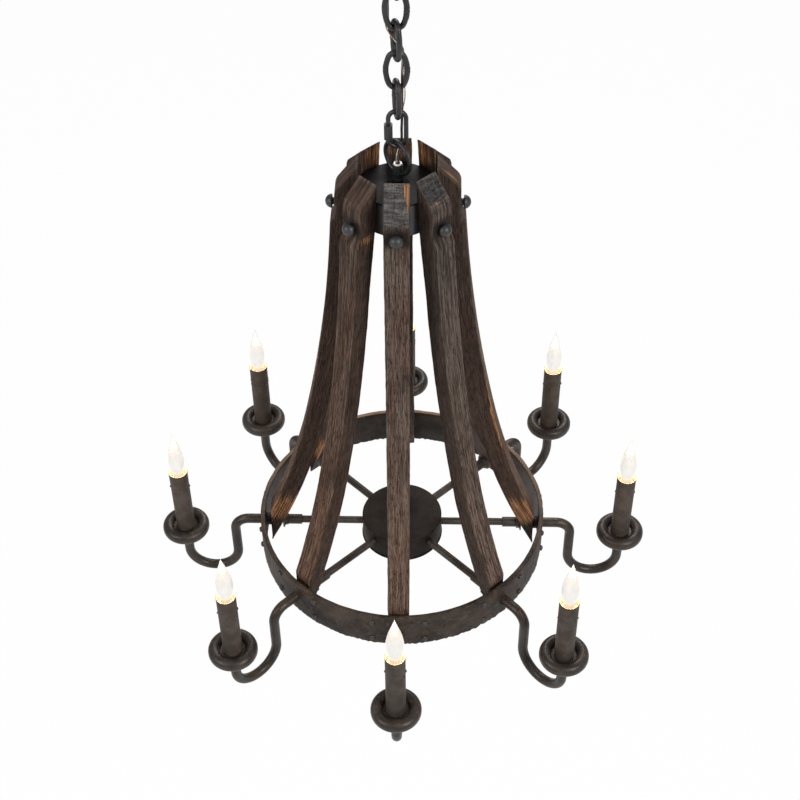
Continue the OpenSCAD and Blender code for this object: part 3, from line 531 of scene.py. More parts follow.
half_straight = (quick_length - quick_width) / 2
gap_low, gap_high = -half_straight + 2.6, -half_straight + 8.6
wire_path = [(-quick_side, z) for z in np.linspace(gap_high, half_straight, 10)]
wire_path += arc(0, half_straight, quick_side, math.pi, 0, 40)[1:]
wire_path += [(quick_side, z) for z in np.linspace(half_straight, -half_straight, 12)[1:]]
wire_path += arc(0, -half_straight, quick_side, 0, -math.pi, 40)[1:]
wire_path += [(-quick_side, z) for z in (-half_straight + 1.3, gap_low)]
points, faces = ring_round(upright(wire_path), quick_wire / 2, 22)
solid_piece("quick_link_wire", stand(points, quick_yaw, quick_middle), faces, black_steel,
            "quick_link", ("quick_link",))


def hex_nut(flats, height, bore, chamfer=30.0, steps=72):
    """A nut along Z, centred on the origin, with the corners turned off at both ends."""
    apothem, hole, half, points = flats / 2, bore / 2, height / 2, []
    for i in range(steps):
        a = 2 * math.pi * i / steps
        far = apothem / math.cos((a + math.pi / 6) % (math.pi / 3) - math.pi / 6)
        face_r = apothem * 0.96
        drop = (far - face_r) * math.tan(math.radians(chamfer))
        for r, z in ((hole + 0.25, half), (face_r, half), (far, half - drop),
                     (far, drop - half), (face_r, -half), (hole + 0.25, -half),
                     (hole, 0.6 - half), (hole, half - 0.6)):
            points.append((r * math.cos(a), r * math.sin(a), z))
    return points, turned_faces(8, steps)


nut_low, nut_high = (corner.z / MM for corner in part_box("quick_link_nut"))
nut_edge = math.radians(22)
points, faces = hex_nut(9.0, nut_high - nut_low, quick_wire + 0.3)
points = stand([(x - quick_side, y, z) for x, y, z in points], quick_yaw, (nut_low + nut_high) / 2)
solid_piece("quick_link_nut_turned", points, faces, black_steel, "quick_link_nut",
            ("quick_link_nut",), nut_edge)

# ---- Supply cord and ground wire ----
# A thin brown lamp cord and a bare copper-toned wire, woven down the chain from the canopy loop
# into the neck of the hang loop. Each is cut at the middle of every link.

cord_thick, ground_thick = 2.8, 1.2
cord_route = (
    (1, 0, -1), (1, 0, -15), (1, 0, -30), (1, 0, -40), (1, 0.4, -49), (-2, 4, -56), (-6, 7, -63),
    (-8, 7, -72), (-9, 6.5, -84), (-8.4, 6, -97), (-8.2, 6.2, -110), (-8.2, 6.2, -122),
    (-8.2, 6, -133), (-7.6, 5.6, -142), (-5.6, 5.2, -149), (-2, 5.2, -155), (2.5, 5.8, -161),
    (6, 6.8, -168), (6.2, 6.8, -177), (5.8, 6.2, -188), (5.5, 5.8, -200), (5.4, 5, -212),
    (5.2, 4.6, -225), (5, 4.6, -238), (4.8, 4.6, -250), (4.4, 4.8, -261), (4.4, 5.2, -271),
    (3.8, 4.6, -281), (2, 1.6, -290), (0.9, 0.2, -297), (0.8, 0, -305), (0.8, 0, -318),
    (0.8, 0, -335), (0.8, 0, -353))
ground_route = (
    (-1.6, 0, -1), (-1.6, 0, -15), (-1.6, 0, -30), (-1.6, 0, -40), (-1.6, 0.4, -50.5),
    (-5, 6, -57), (-8.6, 9, -63), (-10.6, 8.6, -72), (-11.4, 7.6, -84), (-10.8, 7, -97),
    (-10.8, 7, -110),
    (-10.8, 7, -122), (-10.8, 5, -133), (-10, 3.6, -142), (-6.4, 2.8, -149), (-2.4, 2.6, -155),
    (1.6, 3.2, -161), (4.8, 4.3, -168), (5.6, 4.2, -177), (5.6, 3.6, -188), (7.2, 4.2, -200),
    (8.2, 5.8, -212), (8, 6.6, -225), (6, 7.6, -238), (5.2, 7.4, -250), (4.8, 7.6, -261),
    (4.2, 8, -271), (2, 6.8, -281), (-0.6, 3.4, -290), (-1.6, 0.6, -297), (-1.7, 0, -305),
    (-1.7, 0, -318), (-1.7, 0, -335), (-1.7, 0, -353))
hinge_heights = (-72.8, -107.1, -140.8, -174.5, -208.2, -241.9, -279.0)
hung_bodies = ("ceiling_fitting", "link_1", "link_2", "link_3", "link_4", "link_5", "quick_link",
               "fixture")


def cord_finish():
    """Woven brown jacket, a little paler on its ridges."""
    cord = Finish("brown cord", roughness=0.7)
    weave = cord.cloud(cord.place((1, 1, 0.5)), 900.0, 2.0)
    return cord.set(base_color=cord.mixed(weave.step(0.4, 0.65), (0.022, 0.014, 0.010),
                                          (0.060, 0.040, 0.028)),
                    normal=cord.relief(weave, 0.0001))


def bare_wire_finish():
    """Bare tinned copper, dull and warm."""
    wire = Finish("bare wire", metallic=0.8)
    dull = wire.cloud(wire.place(), 300.0, 3.0)
    tone = wire.mixed(dull.step(0.35, 0.65), (0.34, 0.27, 0.19), (0.60, 0.50, 0.38))
    return wire.set(base_color=tone, roughness=dull * 0.3 + 0.3)


def through(p, t):
    """A point on the smooth curve through points p, at t steps from its start."""
    i = min(int(t), len(p) - 2)
    t -= i
    a, b, c, d = (Vector(p[min(max(i + k, 0), len(p) - 1)]) for k in (-1, 0, 1, 2))
    return 0.5 * (2 * b + (c - a) * t + (2 * a - 5 * b + 4 * c - d) * t * t
                  + (3 * b - a - 3 * c + d) * t ** 3)


brown_cord = cord_finish()
cuts = [0.0] + [(a + b) / 2 for a, b in zip(hinge_heights, hinge_heights[1:])] + [-400.0]
for title, route, thick, sides, finish, slot in (
        ("supply_cord", cord_route, cord_thick, 14, brown_cord, "cord_jacket"),
        ("ground_wire", ground_route, ground_thick, 8, bare_wire_finish(), "zinc_steel")):
    line = [through(route, t) for t in np.linspace(0, len(route) - 1, 8 * len(route))]
    for k, hinge in enumerate(hinge_heights):
        first = next(i for i, p in enumerate(line) if p.z <= cuts[k])
        last = max(i for i, p in enumerate(line) if p.z >= cuts[k + 1])
        span = line[max(first - 1, 0):last + 2]
        points, faces = ring_round(span, thick / 2, sides)
        piece = solid_piece(f"{title}_{k + 1}", points, faces, finish, None, (title,))
        reach = min(cuts[k] - hinge, hinge - cuts[k + 1], 13.0) - 1.5
        hung_bodies[k + 1]
        (hinge + reach) * MM
        (hinge - reach) * MM
        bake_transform(piece)

# ---- Hang loop, bushing and collar ----
# A ring of round bar welded to a short threaded neck, with a white bushing where the cord goes
# in, and a stepped collar between the neck and the drum.

ring_centre, ring_radius, ring_wire, ring_yaw = -292.8, 19.0, 4.6, -46.0
drum_top, pipe_hole = -326.5, 4.9
neck_top = ring_centre - ring_radius + 10.4


def turned(profile, steps=96):
    """Points and faces of an outline of (radius, height) pairs, closed, turned round Z."""
    points, faces = [], []
    n = len(profile)
    for i in range(steps):
        a = 2 * math.pi * i / steps
        points += [(r * math.cos(a), r * math.sin(a), z) for r, z in profile]
    for i in range(steps):
        a, b = n * i, n * ((i + 1) % steps)
        for k in range(n):
            m = (k + 1) % n
            if profile[k][0] < 1e-6 and profile[m][0] < 1e-6:
                continue
            if profile[k][0] < 1e-6:
                faces.append((a + k, b + m, a + m))
            elif profile[m][0] < 1e-6:
                faces.append((a + k, b + k, a + m))
            else:
                faces.append((a + k, b + k, b + m, a + m))
    return points, faces


def eased(outline, radius=0.5, steps=4):
    """An outline with each corner rounded; a corner may give its own radius as a third value."""
    done = []
    n = len(outline)
    for i, corner in enumerate(outline):
        p = Vector(corner[:2])
        before, after = Vector(outline[i - 1][:2]), Vector(outline[(i + 1) % n][:2])
        r = corner[2] if len(corner) > 2 else radius
        r = min(r, 0.45 * (before - p).length, 0.45 * (after - p).length)
        if r < 1e-4 or p.x < 1e-6:
            done.append(tuple(p))
            continue
        one, two = p + (before - p).normalized() * r, p + (after - p).normalized() * r
        for k in range(steps + 1):
            t = k / steps
            done.append(tuple((1 - t) ** 2 * one + 2 * t * (1 - t) * p + t * t * two))
    return done


def turned_piece(name, outline, material, node, corner, steps):
    """An outline with eased corners turned round Z, as a piece of the fixture."""
    points, faces = turned(eased(outline, corner), steps)
    return solid_piece(name, points, faces, material, "fixture", (node,))


loop_line = arc(0, 0, ring_radius, 0, 2 * math.pi, 121)[:-1]
ring_points, ring_faces = ring_round(upright(loop_line), ring_wire / 2, 22, True)
solid_piece("hang_loop_ring", stand(ring_points, ring_yaw, ring_centre), ring_faces, black_steel,
            "fixture", ("hang_loop",))
turned_piece("hang_loop_neck", [
    (3.25, neck_top), (5.6, neck_top), (5.6, drum_top + 9), (6.3, drum_top + 7.4),
    (6.3, drum_top + 4.02), (4.85, drum_top + 4.02), (4.85, drum_top - 12), (3.25, drum_top - 12)],
    black_steel, "hang_loop", 0.6, 72)


def porcelain_finish():
    """White glazed porcelain with faint grey clouding."""
    glaze = Finish("white porcelain", coat_weight=0.5, coat_roughness=0.1)
    cloudy = glaze.cloud(glaze.place(), 240.0, 3.0)
    return glaze.set(base_color=glaze.mixed(cloudy, (0.62, 0.61, 0.58), (0.80, 0.79, 0.76)),
                     roughness=cloudy * 0.2 + 0.2)


white_porcelain = porcelain_finish()
turned_piece("loop_bushing_glazed", [
    (2.6, neck_top - 3), (3.2, neck_top - 3), (3.2, neck_top + 0.02), (4.6, neck_top + 0.02),
    (4.6, neck_top + 1.62), (2.6, neck_top + 1.62)],
    white_porcelain, "loop_bushing", 0.55, 48)
neck_black = iron_finish("black neck paint", (0.003, 0.003, 0.003), (0.008, 0.008, 0.008),
                         (0.012, 0.011, 0.011), rough=0.66, grain=0.00004, wear=0.3, shine=0.1)
turned_piece("loop_collar_turned", [
    (pipe_hole, drum_top), (12.5, drum_top), (12.5, drum_top + 1.9, 0.9), (10.2, drum_top + 2.1),
    (8.2, drum_top + 3.9, 0.7), (pipe_hole, drum_top + 4.0)],
    neck_black, "loop_collar", 0.4, 72)

# ---- Top drum and its lid ----
# A shallow can of black sheet, closed by a flat lid, that the staves are bolted round. Both have
# a hole in the middle for the neck and the stem, and the paint is satin. The can's side is given a
# lighter black as painted light, and the lid a darker black as painted shade.

drum_radius, drum_height, sheet = 41.0, 41.0, 2.0
drum_bottom = drum_top - drum_height
# The can's side is painted a lighter black than the lid, as painted light.
drum_black_painted_light = iron_finish("black drum paint", (0.040, 0.040, 0.041), (0.066, 0.066, 0.067),
                         (0.050, 0.042, 0.036), rough=0.50, grain=0.00005, wear=0.3)
# The lid is painted a darker black than the can's side, as painted shade.
lid_black_painted_shade = iron_finish("black lid paint", (0.003, 0.003, 0.003), (0.006, 0.006, 0.006),
                        (0.014, 0.012, 0.011), rough=0.62, grain=0.00005, wear=0.4)
turned_piece("top_drum_pressed", [
    (pipe_hole, drum_bottom), (drum_radius, drum_bottom, 1.6),
    (drum_radius, drum_top - sheet - 0.1, 0.3), (drum_radius - sheet, drum_top - sheet - 0.1, 0.3),
    (drum_radius - sheet, drum_bottom + sheet, 1.2), (pipe_hole, drum_bottom + sheet)],
    drum_black_painted_light, "top_drum", 0.5, 144)
turned_piece("drum_lid_pressed", [
    (pipe_hole, drum_top - sheet), (drum_radius, drum_top - sheet, 0.3),
    (drum_radius, drum_top, 1.1), (pipe_hole, drum_top)],
    lid_black_painted_shade, "drum_lid", 0.5, 144)

# ---- Eight staves ----
# Oak staves from an old barrel, set hollow side out: sawn edges, a steep saw cut at the top, a
# hollow under it for the cap nut, and an upright foot. Stained espresso brown, rubbed pale on
# the corners, with raw orange oak left where a saw or a chip went through the stain. A painted
# highlight runs along the foot of the top cut and the top edge, painted shade lies in the hollow
# round the cap nut, and painted warm light from the bulbs lies on the sides of four feet.

spoke_height = -864.0
stave_count = 8
stave_thick = 23.0
upper_centre, lower_centre = (2069.880, 624.360), (976.117, 383.358)
upper_bend, lower_bend, knee = 2000.0, 880.0, 194.0
bolt_height, swell_start = 514.5, 430.5
stave_top, foot_bottom, foot_turn = 568.0, -26.5, 27.0
foot_radius, end_in, end_top_in = 171.5, 45.3, 42.0
hollow_centre, hollow_radius, chime = 94.9, 28.0, 68.1
top_width, foot_width = 28.0, 26.0
bevel_foot, corner_ease = 544.0, 1.35

# For each stave from the front round to the left: how far its top and the foot of its top bevel
# stand from the usual heights, how grey its stain is, and how dark
stave_looks = ((0.0, 2.5, 0.55, 0.00), (0.0, -0.5, 0.75, 0.05), (-1.0, -1.0, 0.35, 0.18),
               (-1.0, 0.0, 0.40, 0.20), (-1.0, 0.0, 0.45, 0.20), (-4.0, -2.0, 0.35, 0.22),
               (-1.0, -6.5, 0.25, 0.20), (-5.0, -0.5, 0.35, 0.06))


def stave_faces(heights, top, crease):
    """Radius of a stave's outer and inner face, and of its uncut outer face, at rising heights."""
    h = np.asarray(heights)

    def bend(depth):
        up = upper_centre[0] - np.sqrt((upper_bend + depth) ** 2 - (upper_centre[1] - h) ** 2)
        low = lower_centre[0] - np.sqrt((lower_bend + depth) ** 2 - (lower_centre[1] - h) ** 2)
        return np.where(h > knee, up, low)

    uncut = bend(0.0)
    outer = np.where(h < foot_turn, np.minimum(uncut, foot_radius), uncut)
    hollow = hollow_radius ** 2 - (h - bolt_height) ** 2
    scoop = hollow_centre - np.sqrt(np.maximum(hollow, 0.0))
    outer = np.where((hollow > 0) & (scoop < outer), scoop, outer)
    bevel = np.interp(h, [bolt_height, crease - 6, crease, top],
                      [chime, chime, chime - 2, end_top_in + 1.2])
    outer = np.where(h > bolt_height, np.minimum(outer, bevel), outer)
    inner = bend(stave_thick)
    start = np.interp(swell_start, h, inner)
    swell = np.interp(h, [swell_start, bolt_height, stave_top], [start, end_in, end_top_in])
    return outer, np.where(h > swell_start, np.minimum(inner, swell), inner), uncut


def arm_angle(index):
    """Where the stave, arm and candle with that number stand, counted from the front as 0."""
    return math.radians(-90 + 360 / stave_count * index)


def marked(mesh, title, values):
    """Writes a value at each of a mesh's points, for its material to read."""
    layer = mesh.attributes.new(title, "FLOAT", "POINT")
    layer.data.foreach_set("value", np.asarray(values, np.float32))


def near(place, middle, spread):
    """1 at the middle, fading away over the spread on both sides."""
    return np.exp(-((place - middle) / spread) ** 2)


def stave_mesh(index):
    """One stave's mesh, with what its material reads: grain place, face, bevel, wear with a
    painted highlight, raw oak with painted bulb light, and darkening with painted shade.
    """
    lift, fall, grey, dark = stave_looks[index]
    top, crease = stave_top + lift, bevel_foot + fall
    heights = np.concatenate([
        foot_bottom + np.array([0, 0.25, 0.9, 2.0]), np.arange(foot_bottom + 4, 470, 3.2),
        np.arange(470, top - 2.2, 1.0), top - np.array([1.5, 0.9, 0.35, 0.0])])
    outer, inner, uncut = stave_faces(heights, top, crease)
    kernel = np.exp(-0.5 * (np.arange(-3, 4) / 1.1) ** 2)
    smooth = np.convolve(np.pad(outer, 3, "edge"), kernel / kernel.sum(), "valid")
    outer = np.where(heights > 474, smooth, outer)
    inset = np.interp(heights, [foot_bottom, foot_bottom + 0.25, foot_bottom + 0.9,
                                foot_bottom + 2.0], [1.5, 0.8, 0.25, 0.0])
    inset = np.maximum(inset, np.interp(heights, [top - 1.5, top - 0.9, top - 0.35, top],
                                        [0.0, 0.12, 0.4, 0.9]))
    run = np.concatenate([[0], np.cumsum(np.hypot(np.diff(uncut), np.diff(heights)))])
    angle = arm_angle(index)
    turn = np.array([[math.cos(angle), -math.sin(angle)], [math.sin(angle), math.cos(angle)]])
    points, marks = [], []
    for i, h in enumerate(heights):
        half = np.interp(h, [foot_bottom, stave_top], [foot_width / 2, top_width / 2]) - inset[i]
        out, back = outer[i] - inset[i] * 0.6, inner[i] + inset[i] * 0.6
        wander = [0.45 * noise.noise(Vector((index * 7.3 + k * 2.1, 0, h / 22.0)))
                  + 0.25 * noise.noise(Vector((index * 3.1 + k * 5.7, 9, h / 7.0)))
                  for k in range(4)]
        e = min(corner_ease, (out - back) * 0.3)
        # Once round the stave: radius, place across, face (0 outer, 1 side, 2 inner), corner
        ring = [(out, y, 0.0, 0.0) for y in np.linspace(-half + e, half - e, 17)]
        ring += [(out - e * 0.3, half - e * 0.3, 0.0, 1.0)]
        ring += [(r, half, 1.0, 0.0) for r in np.linspace(out - e, back + e, 7)]
        ring += [(back + e * 0.3, half - e * 0.3, 1.0, 1.0)]
        ring += [(back, y, 2.0, 0.0) for y in np.linspace(half - e, -half + e, 9)]
        ring += [(back + e * 0.3, -half + e * 0.3, 2.0, 1.0)]
        ring += [(r, -half, 1.0, 0.0) for r in np.linspace(back + e, out - e, 7)]
        ring += [(out - e * 0.3, -half + e * 0.3, 1.0, 1.0)]
        for r, y, face, corner in ring:
            across = y + (wander[0] if y > 0 else wander[1]) * abs(y) / half
            depth = r - 0.12 * abs(noise.noise(Vector((index * 5.0 + y / 5.0, r / 9.0, h / 14.0))))
            xy = turn @ np.array([depth, across])
            points.append((xy[0], xy[1], h + spoke_height))
            foot = crease if index else 530 + 2.5 * math.sin(across / 3.0)
            on_bevel = float(np.clip((h - foot + 0.6) / 1.2, 0, 1)) if face == 0.0 else 0.0
            below = out if face == 0.0 else uncut[i]
            marks.append((across, depth - below, run[i], face, corner, on_bevel, h))
    mesh = plain_mesh(f"stave {index + 1}", points, tube_faces(len(heights), len(ring)))
    marks = np.array(marks)
    face, corner, bevel, h = marks.T[3:]
    # Painted highlight along the foot of the top cut and along the top edge, added to rubbed wear
    # on the corners.
    painted_crease_highlight = near(h, crease, 1.3) * (face == 0)
    painted_top_edge_highlight = np.clip((h - top + 2.2) / 1.6, 0, 1)
    high = 1 + 0.9 * (h > crease - 8)
    worn = np.clip(corner * 0.7 * high + painted_crease_highlight * (0.7 if index else 0) + painted_top_edge_highlight, 0, 1)
    # Painted shade, with some dark stain, in the hollow round the cap nut.
    hollow = np.exp(-(np.abs(h - bolt_height - 1) / 12.5) ** 4) * (face == 0)
    place = mesh.attributes.new("grain_place", "FLOAT_VECTOR", "POINT")
    offsets = np.array([0.31 * index, 0.17 * index, 0.53 * index])
    place.data.foreach_set("vector", (marks[:, :3] * MM + offsets).astype(np.float32).ravel())
    marked(mesh, "side_face", face == 1)
    marked(mesh, "bevel_face", bevel)
    marked(mesh, "worn_and_highlit_edge", worn)
    marked(mesh, "raw_oak_and_bulb_glow", raw_oak_and_bulb_glow(index, marks, top))
    marked(mesh, "grey_stain", np.full(len(marks), grey))
    marked(mesh, "stain_and_painted_shade", np.maximum(np.maximum(dark, 0.88 * hollow),
                                          0.35 * (index == 1) * bevel))
    return mesh


def raw_oak_and_bulb_glow(index, marks, top):
    """How bare the oak is at each point of a stave: chips and sawn patches, mostly at the top, and
    painted warm light from the bulbs on the sides of four feet.
    """
    across, depth, _, face, _, _, h = marks.T
    down = top - h
    outer, side, inner = face == 0, face == 1, face == 2
    bare = np.zeros(len(marks))
    if index == 0:  # a strip along the right corner, wider towards the top
        bare = np.clip((across - 13.6 + 9.4 * np.clip(1 - down / 27, 0, 1)) / 4.2, 0, 1)
        bare = bare * (down < 27)
    if index == 1:  # a saw's nick across the face
        bare = near(down, 22, 1.6) * outer * 0.45
    if index == 2:  # a chip at the top, and one corner rubbed bare lower down
        bare = near(down, 14, 9) * near(across, -7, 4) * 0.7
        bare = np.maximum(bare, near(h, 190, 60) * near(depth, 0, 2.6) * side * (across < 0))
    if index in (3, 5):  # the inside of the top, more so towards the middle of the fixture
        towards = across * (1 if index == 5 else -1)
        bare = np.clip((34 - down) / 16, 0, 1) * inner * np.clip((12 - towards) / 16, 0.25, 1)
    if index == 4:
        bare = np.clip((30 - down) / 10, 0, 1) * inner * 0.42
    if index == 7:  # a patch on the side, under the bolt
        bare = near(down, 62, 7) * side * (across > 0) * 0.5
    # Painted warm light from the bulbs: orange on the sides of these four staves' feet.
    if index in (2, 3, 5, 6):  # the sides of the foot
        bare = np.maximum(bare, near(h, 34, 28) * side * 0.62)
    return bare * np.clip(down / 2.5, 0, 1)


def oak_finish():
    """Stained, weathered barrel oak, read along the grain of each stave, with its painted
    highlight, shade and bulb light.
    """
    oak = Finish("espresso oak", specular_ior_level=0.16)
    grain_place = oak.mark("grain_place", 1)
    side, bevel, worn = oak.mark("side_face"), oak.mark("bevel_face"), oak.mark("worn_and_highlit_edge")
    raw_and_bulb_glow, grey, dark = oak.mark("raw_oak_and_bulb_glow"), oak.mark("grey_stain"), oak.mark("stain_and_painted_shade")
    streak = oak.cloud(oak.place((620, 520, 17.0), grain_place), 1.0, 5.0, 0.70, 0.5)
    broad = oak.cloud(oak.place((75, 75, 11.0), grain_place), 1.0, 4.0, 0.6, 0.8)
    blotch = oak.cloud(oak.place((1, 1, 0.5), grain_place), 46.0, 5.0, 0.65)
    pores = oak.cloud(oak.place((1150, 1150, 95), grain_place), 1.0, 3.0, 0.6)
    fibre = oak.cloud(oak.place((1500, 1500, 60), grain_place), 1.0, 3.0, 0.6)
    saw = oak.cloud(oak.place((75, 75, 430), grain_place), 1.0, 4.0, 0.65, 1.2)
    swirl = oak.cloud(oak.place((60, 60, 380), grain_place, (0.0, 0.7, 0.0)), 1.0, 3.0, 0.6, 1.0)
    warm = oak.mixed(streak.step(0.34, 0.66), (0.024, 0.012, 0.007), (0.142, 0.084, 0.058))
    cool = oak.mixed(streak.step(0.34, 0.66), (0.026, 0.018, 0.014), (0.144, 0.113, 0.097))
    tone = oak.mixed((grey + (broad - 0.5) * 1.4).step(0.15, 0.85), warm, cool)
    sides = oak.mixed(broad, (0.014, 0.009, 0.007), (0.062, 0.038, 0.027))
    tone = oak.mixed(side * 0.6, tone, sides)
    tone = oak.mixed(blotch.step(0.50, 0.68) * 0.55, tone, (0.018, 0.011, 0.008))
    chatter = oak.cloud(grain_place, 900.0, 3.0, 0.7)
    end_grain = oak.mixed((saw * 0.5 + swirl * 0.3 + chatter * 0.4).step(0.48, 0.74),
                          (0.020, 0.020, 0.020), (0.165, 0.161, 0.157))
    tone = oak.mixed(bevel * grey.step(0.3, 0.6) * 0.9, tone, end_grain)
    # Darker staves, and painted shade with some dark stain in the hollow round the cap nut.
    tone = oak.mixed(dark, tone, (0.007, 0.005, 0.004))
    tone = oak.mixed(pores.step(0.53, 0.64) * (0.8 - bevel * 0.55), tone, (0.010, 0.006, 0.004))
    tone = oak.mixed(fibre.step(0.58, 0.74) * (0.45 - bevel * 0.35), tone, (0.230, 0.160, 0.122))
    # Paler corners from rubbed wear, and a painted highlight along the crease and the top edge.
    rubbed_and_highlit = worn * streak.step(0.40, 0.62)
    tone = oak.mixed(rubbed_and_highlit * 0.42, tone, (0.230, 0.180, 0.145))
    lines = oak.cloud(oak.place((950, 950, 14), grain_place), 1.0, 3.0, 0.6)
    # Raw oak, and painted warm light from the bulbs on the sides of four feet, in the same orange.
    bare = (raw_and_bulb_glow * 1.5 + (streak - 0.5) * 1.8).step(0.35, 0.85) * raw_and_bulb_glow.step(0.02, 0.2)
    sawn = oak.mixed(streak.step(0.36, 0.62), (0.060, 0.022, 0.008), (0.430, 0.215, 0.100))
    sawn = oak.mixed(fibre.step(0.56, 0.70) * raw_and_bulb_glow * 0.8, sawn, (0.660, 0.440, 0.260))
    sawn = oak.mixed(lines.step(0.46, 0.58) * 0.8, sawn, (0.036, 0.016, 0.008))
    tone = oak.mixed(bare, tone, sawn)
    skin = oak.relief(saw * (0.35 + bevel) + bevel * swirl, 0.0007)
    skin = oak.relief(fibre - pores.step(0.53, 0.64), 0.0006, skin)
    return oak.set(base_color=tone, roughness=0.78 - streak * 0.18 + bevel * 0.1, normal=skin)


stained_oak = oak_finish()
for k in range(stave_count):
    dressed(f"stave_{k + 1}_sawn", stave_mesh(k), stained_oak, "fixture", (f"stave_{k + 1}",),
            math.radians(46))

# ---- Stave bolts, spacers and cap nuts ----
# Zinc bolts from inside the drum through short black spacers and the staves, closed outside by
# domed iron cap nuts on a thin neck that stands in the hollow of the stave.


def round_tree():
    """Sets one piece round the axis: eight times, each rolled by chance about its own axis."""
    work, given = new_tree("set round", {
        "Count": "Int", "Radius": "Float", "Height": "Float", "First angle": "Float",
        "Roll about x": "Float", "Roll about z": "Float", "Seed": "Int", "Material": "Material"})
    number = work.node("GeometryNodeInputIndex")
    angle = given["First angle"] + number * (2 * math.pi) / given["Count"]
    spots = work.node("GeometryNodePoints", None, {
        "Count": given["Count"],
        "Position": work.point(angle.maths("COSINE", angle) * given["Radius"],
                               angle.sine() * given["Radius"], given["Height"])})
    chance = work.node("FunctionNodeRandomValue", {"data_type": "FLOAT"}, {
        2: -1.0, 3: 1.0, "Seed": given["Seed"]}, 1)
    turn = work.point(chance * given["Roll about x"], 0.0,
                      angle + chance * given["Roll about z"])
    around = work.node("GeometryNodeInstanceOnPoints", None, {
        "Points": spots, "Instance": given["Geometry"], "Rotation": turn})
    return close_tree(work, around)


def laid(points):
    """Points drawn along Z, laid along +X."""
    return [(z, y, -x) for x, y, z in points]


set_round = round_tree()


def round_the_axis(name, points, faces, radius, height, material, replaced, roll_x=0.0,
                   roll_z=0.0, seed=3, edge=EDGE):
    """Eight of one piece round the fixture, as one piece that rides on it."""
    mesh = grown(name, set_round, welded(name, points, faces), count=stave_count,
                 radius=radius * MM, height=height * MM, first_angle=arm_angle(0),
                 roll_about_x=roll_x, roll_about_z=roll_z, seed=seed, material=material)
    return dressed(name, mesh, material, "fixture", replaced, edge)


eased_copy("stave_bolts", zinc_plate, "fixture", 0.25)
# The spacers share the drum's black, lightened as painted light.
eased_copy("spacers", drum_black_painted_light, "fixture", 0.4)
bolt_level = spoke_height + bolt_height
cap_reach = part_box("cap_nuts")[1].x / MM
dome, any_roll = 7.8, 3.1
cap_iron = iron_finish("cap nut iron", (0.008, 0.008, 0.009), (0.018, 0.018, 0.020),
                       (0.060, 0.046, 0.036), rough=0.50, dents=0.0002, wear=0.4, shine=0.7)
cap_outline = [(0.0, dome)] + arc(0, 0, dome, math.pi / 2, math.radians(10), 16)[1:]
cap_outline += [(dome - 0.1, 0.7), (dome - 0.5, 0.1), (4.6, 0.0), (4.0, -0.5), (4.0, -4.0),
                (2.6, -4.0), (2.6, 1.0), (0.0, 1.0)]
points, faces = turned(cap_outline, 48)
round_the_axis("cap_nuts_domed", laid(points), faces, cap_reach - dome,
               bolt_level, cap_iron, ("cap_nuts",), any_roll)

# ---- Centre stem, hub and its bottom plate ----
# A pipe from the drum carries the wires to the hub, a shallow spun can with a plate under it that
# stands out as a thin lip. Both are painted a dull dark bronze.

hub_radius, hub_height, lip_radius = 51.8, 33.0, 52.8
hub_top = spoke_height + hub_height / 2 - 1
hub_bottom = hub_top - hub_height
hub_paint = iron_finish("hub paint", (0.012, 0.009, 0.007), (0.027, 0.020, 0.016),
                        (0.046, 0.032, 0.023), rough=0.62, grain=0.00005, dents=0.0002, shine=0.12)
eased_copy("centre_stem", dark_iron, "fixture", 0.0)
turned_piece("hub_body_spun", [
    (pipe_hole, hub_top), (hub_radius, hub_top, 1.8), (hub_radius, hub_bottom, 0.3),
    (hub_radius - sheet, hub_bottom, 0.3), (hub_radius - sheet, hub_top - sheet, 1.2),
    (pipe_hole, hub_top - sheet)], hub_paint, "hub_body", 0.5, 160)
turned_piece("hub_plate_pressed", [
    (0.0, hub_bottom - sheet), (lip_radius, hub_bottom - sheet, 0.7),
    (lip_radius, hub_bottom - 0.02, 0.7), (hub_radius - 2.3, hub_bottom - 0.02, 0.3),
    (hub_radius - 2.3, hub_bottom + 3, 0.3), (hub_radius - 4.3, hub_bottom + 3, 0.3),
    (hub_radius - 4.3, hub_bottom, 0.3), (0.0, hub_bottom)],
    hub_paint, "hub_plate", 0.5, 160)

# ---- Spokes, couplings, nuts and washers ----
# Threaded lamp pipe from the hub to a turned coupling at each stave's foot, with a hex nut, a
# tooth lock washer and a flat zinc washer against the wood.

pipe, coupling_long, coupling_thick = 9.7, 17.8, 13.0
pipe_in = hub_radius - 7
nut_flats, nut_thick, nut_seat = 14.3, 3.78, 1.92
coupling_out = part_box("couplings")[1].x / MM
spoke_paint = iron_finish("spoke paint", (0.032, 0.027, 0.023), (0.056, 0.047, 0.040),
                          (0.105, 0.076, 0.055), rough=0.46, wear=0.6)


def threaded(length, radius, pitch=1.3, depth=0.22, sides=28):
    """A rod along Z from 0 to a length, with a helical thread."""
    rows = max(int(length / pitch * 5), 8)
    points = []
    for i in range(rows + 1):
        z = length * i / rows
        for k in range(sides):
            a = 2 * math.pi * k / sides
            wave = abs(((z / pitch + k / sides) % 1.0) * 2 - 1)
            fade = min(1.0, z / 1.5, (length - z) / 1.5)
            r = radius - depth * wave * fade
            points.append((r * math.cos(a), r * math.sin(a), z))
    return points, tube_faces(rows + 1, sides)


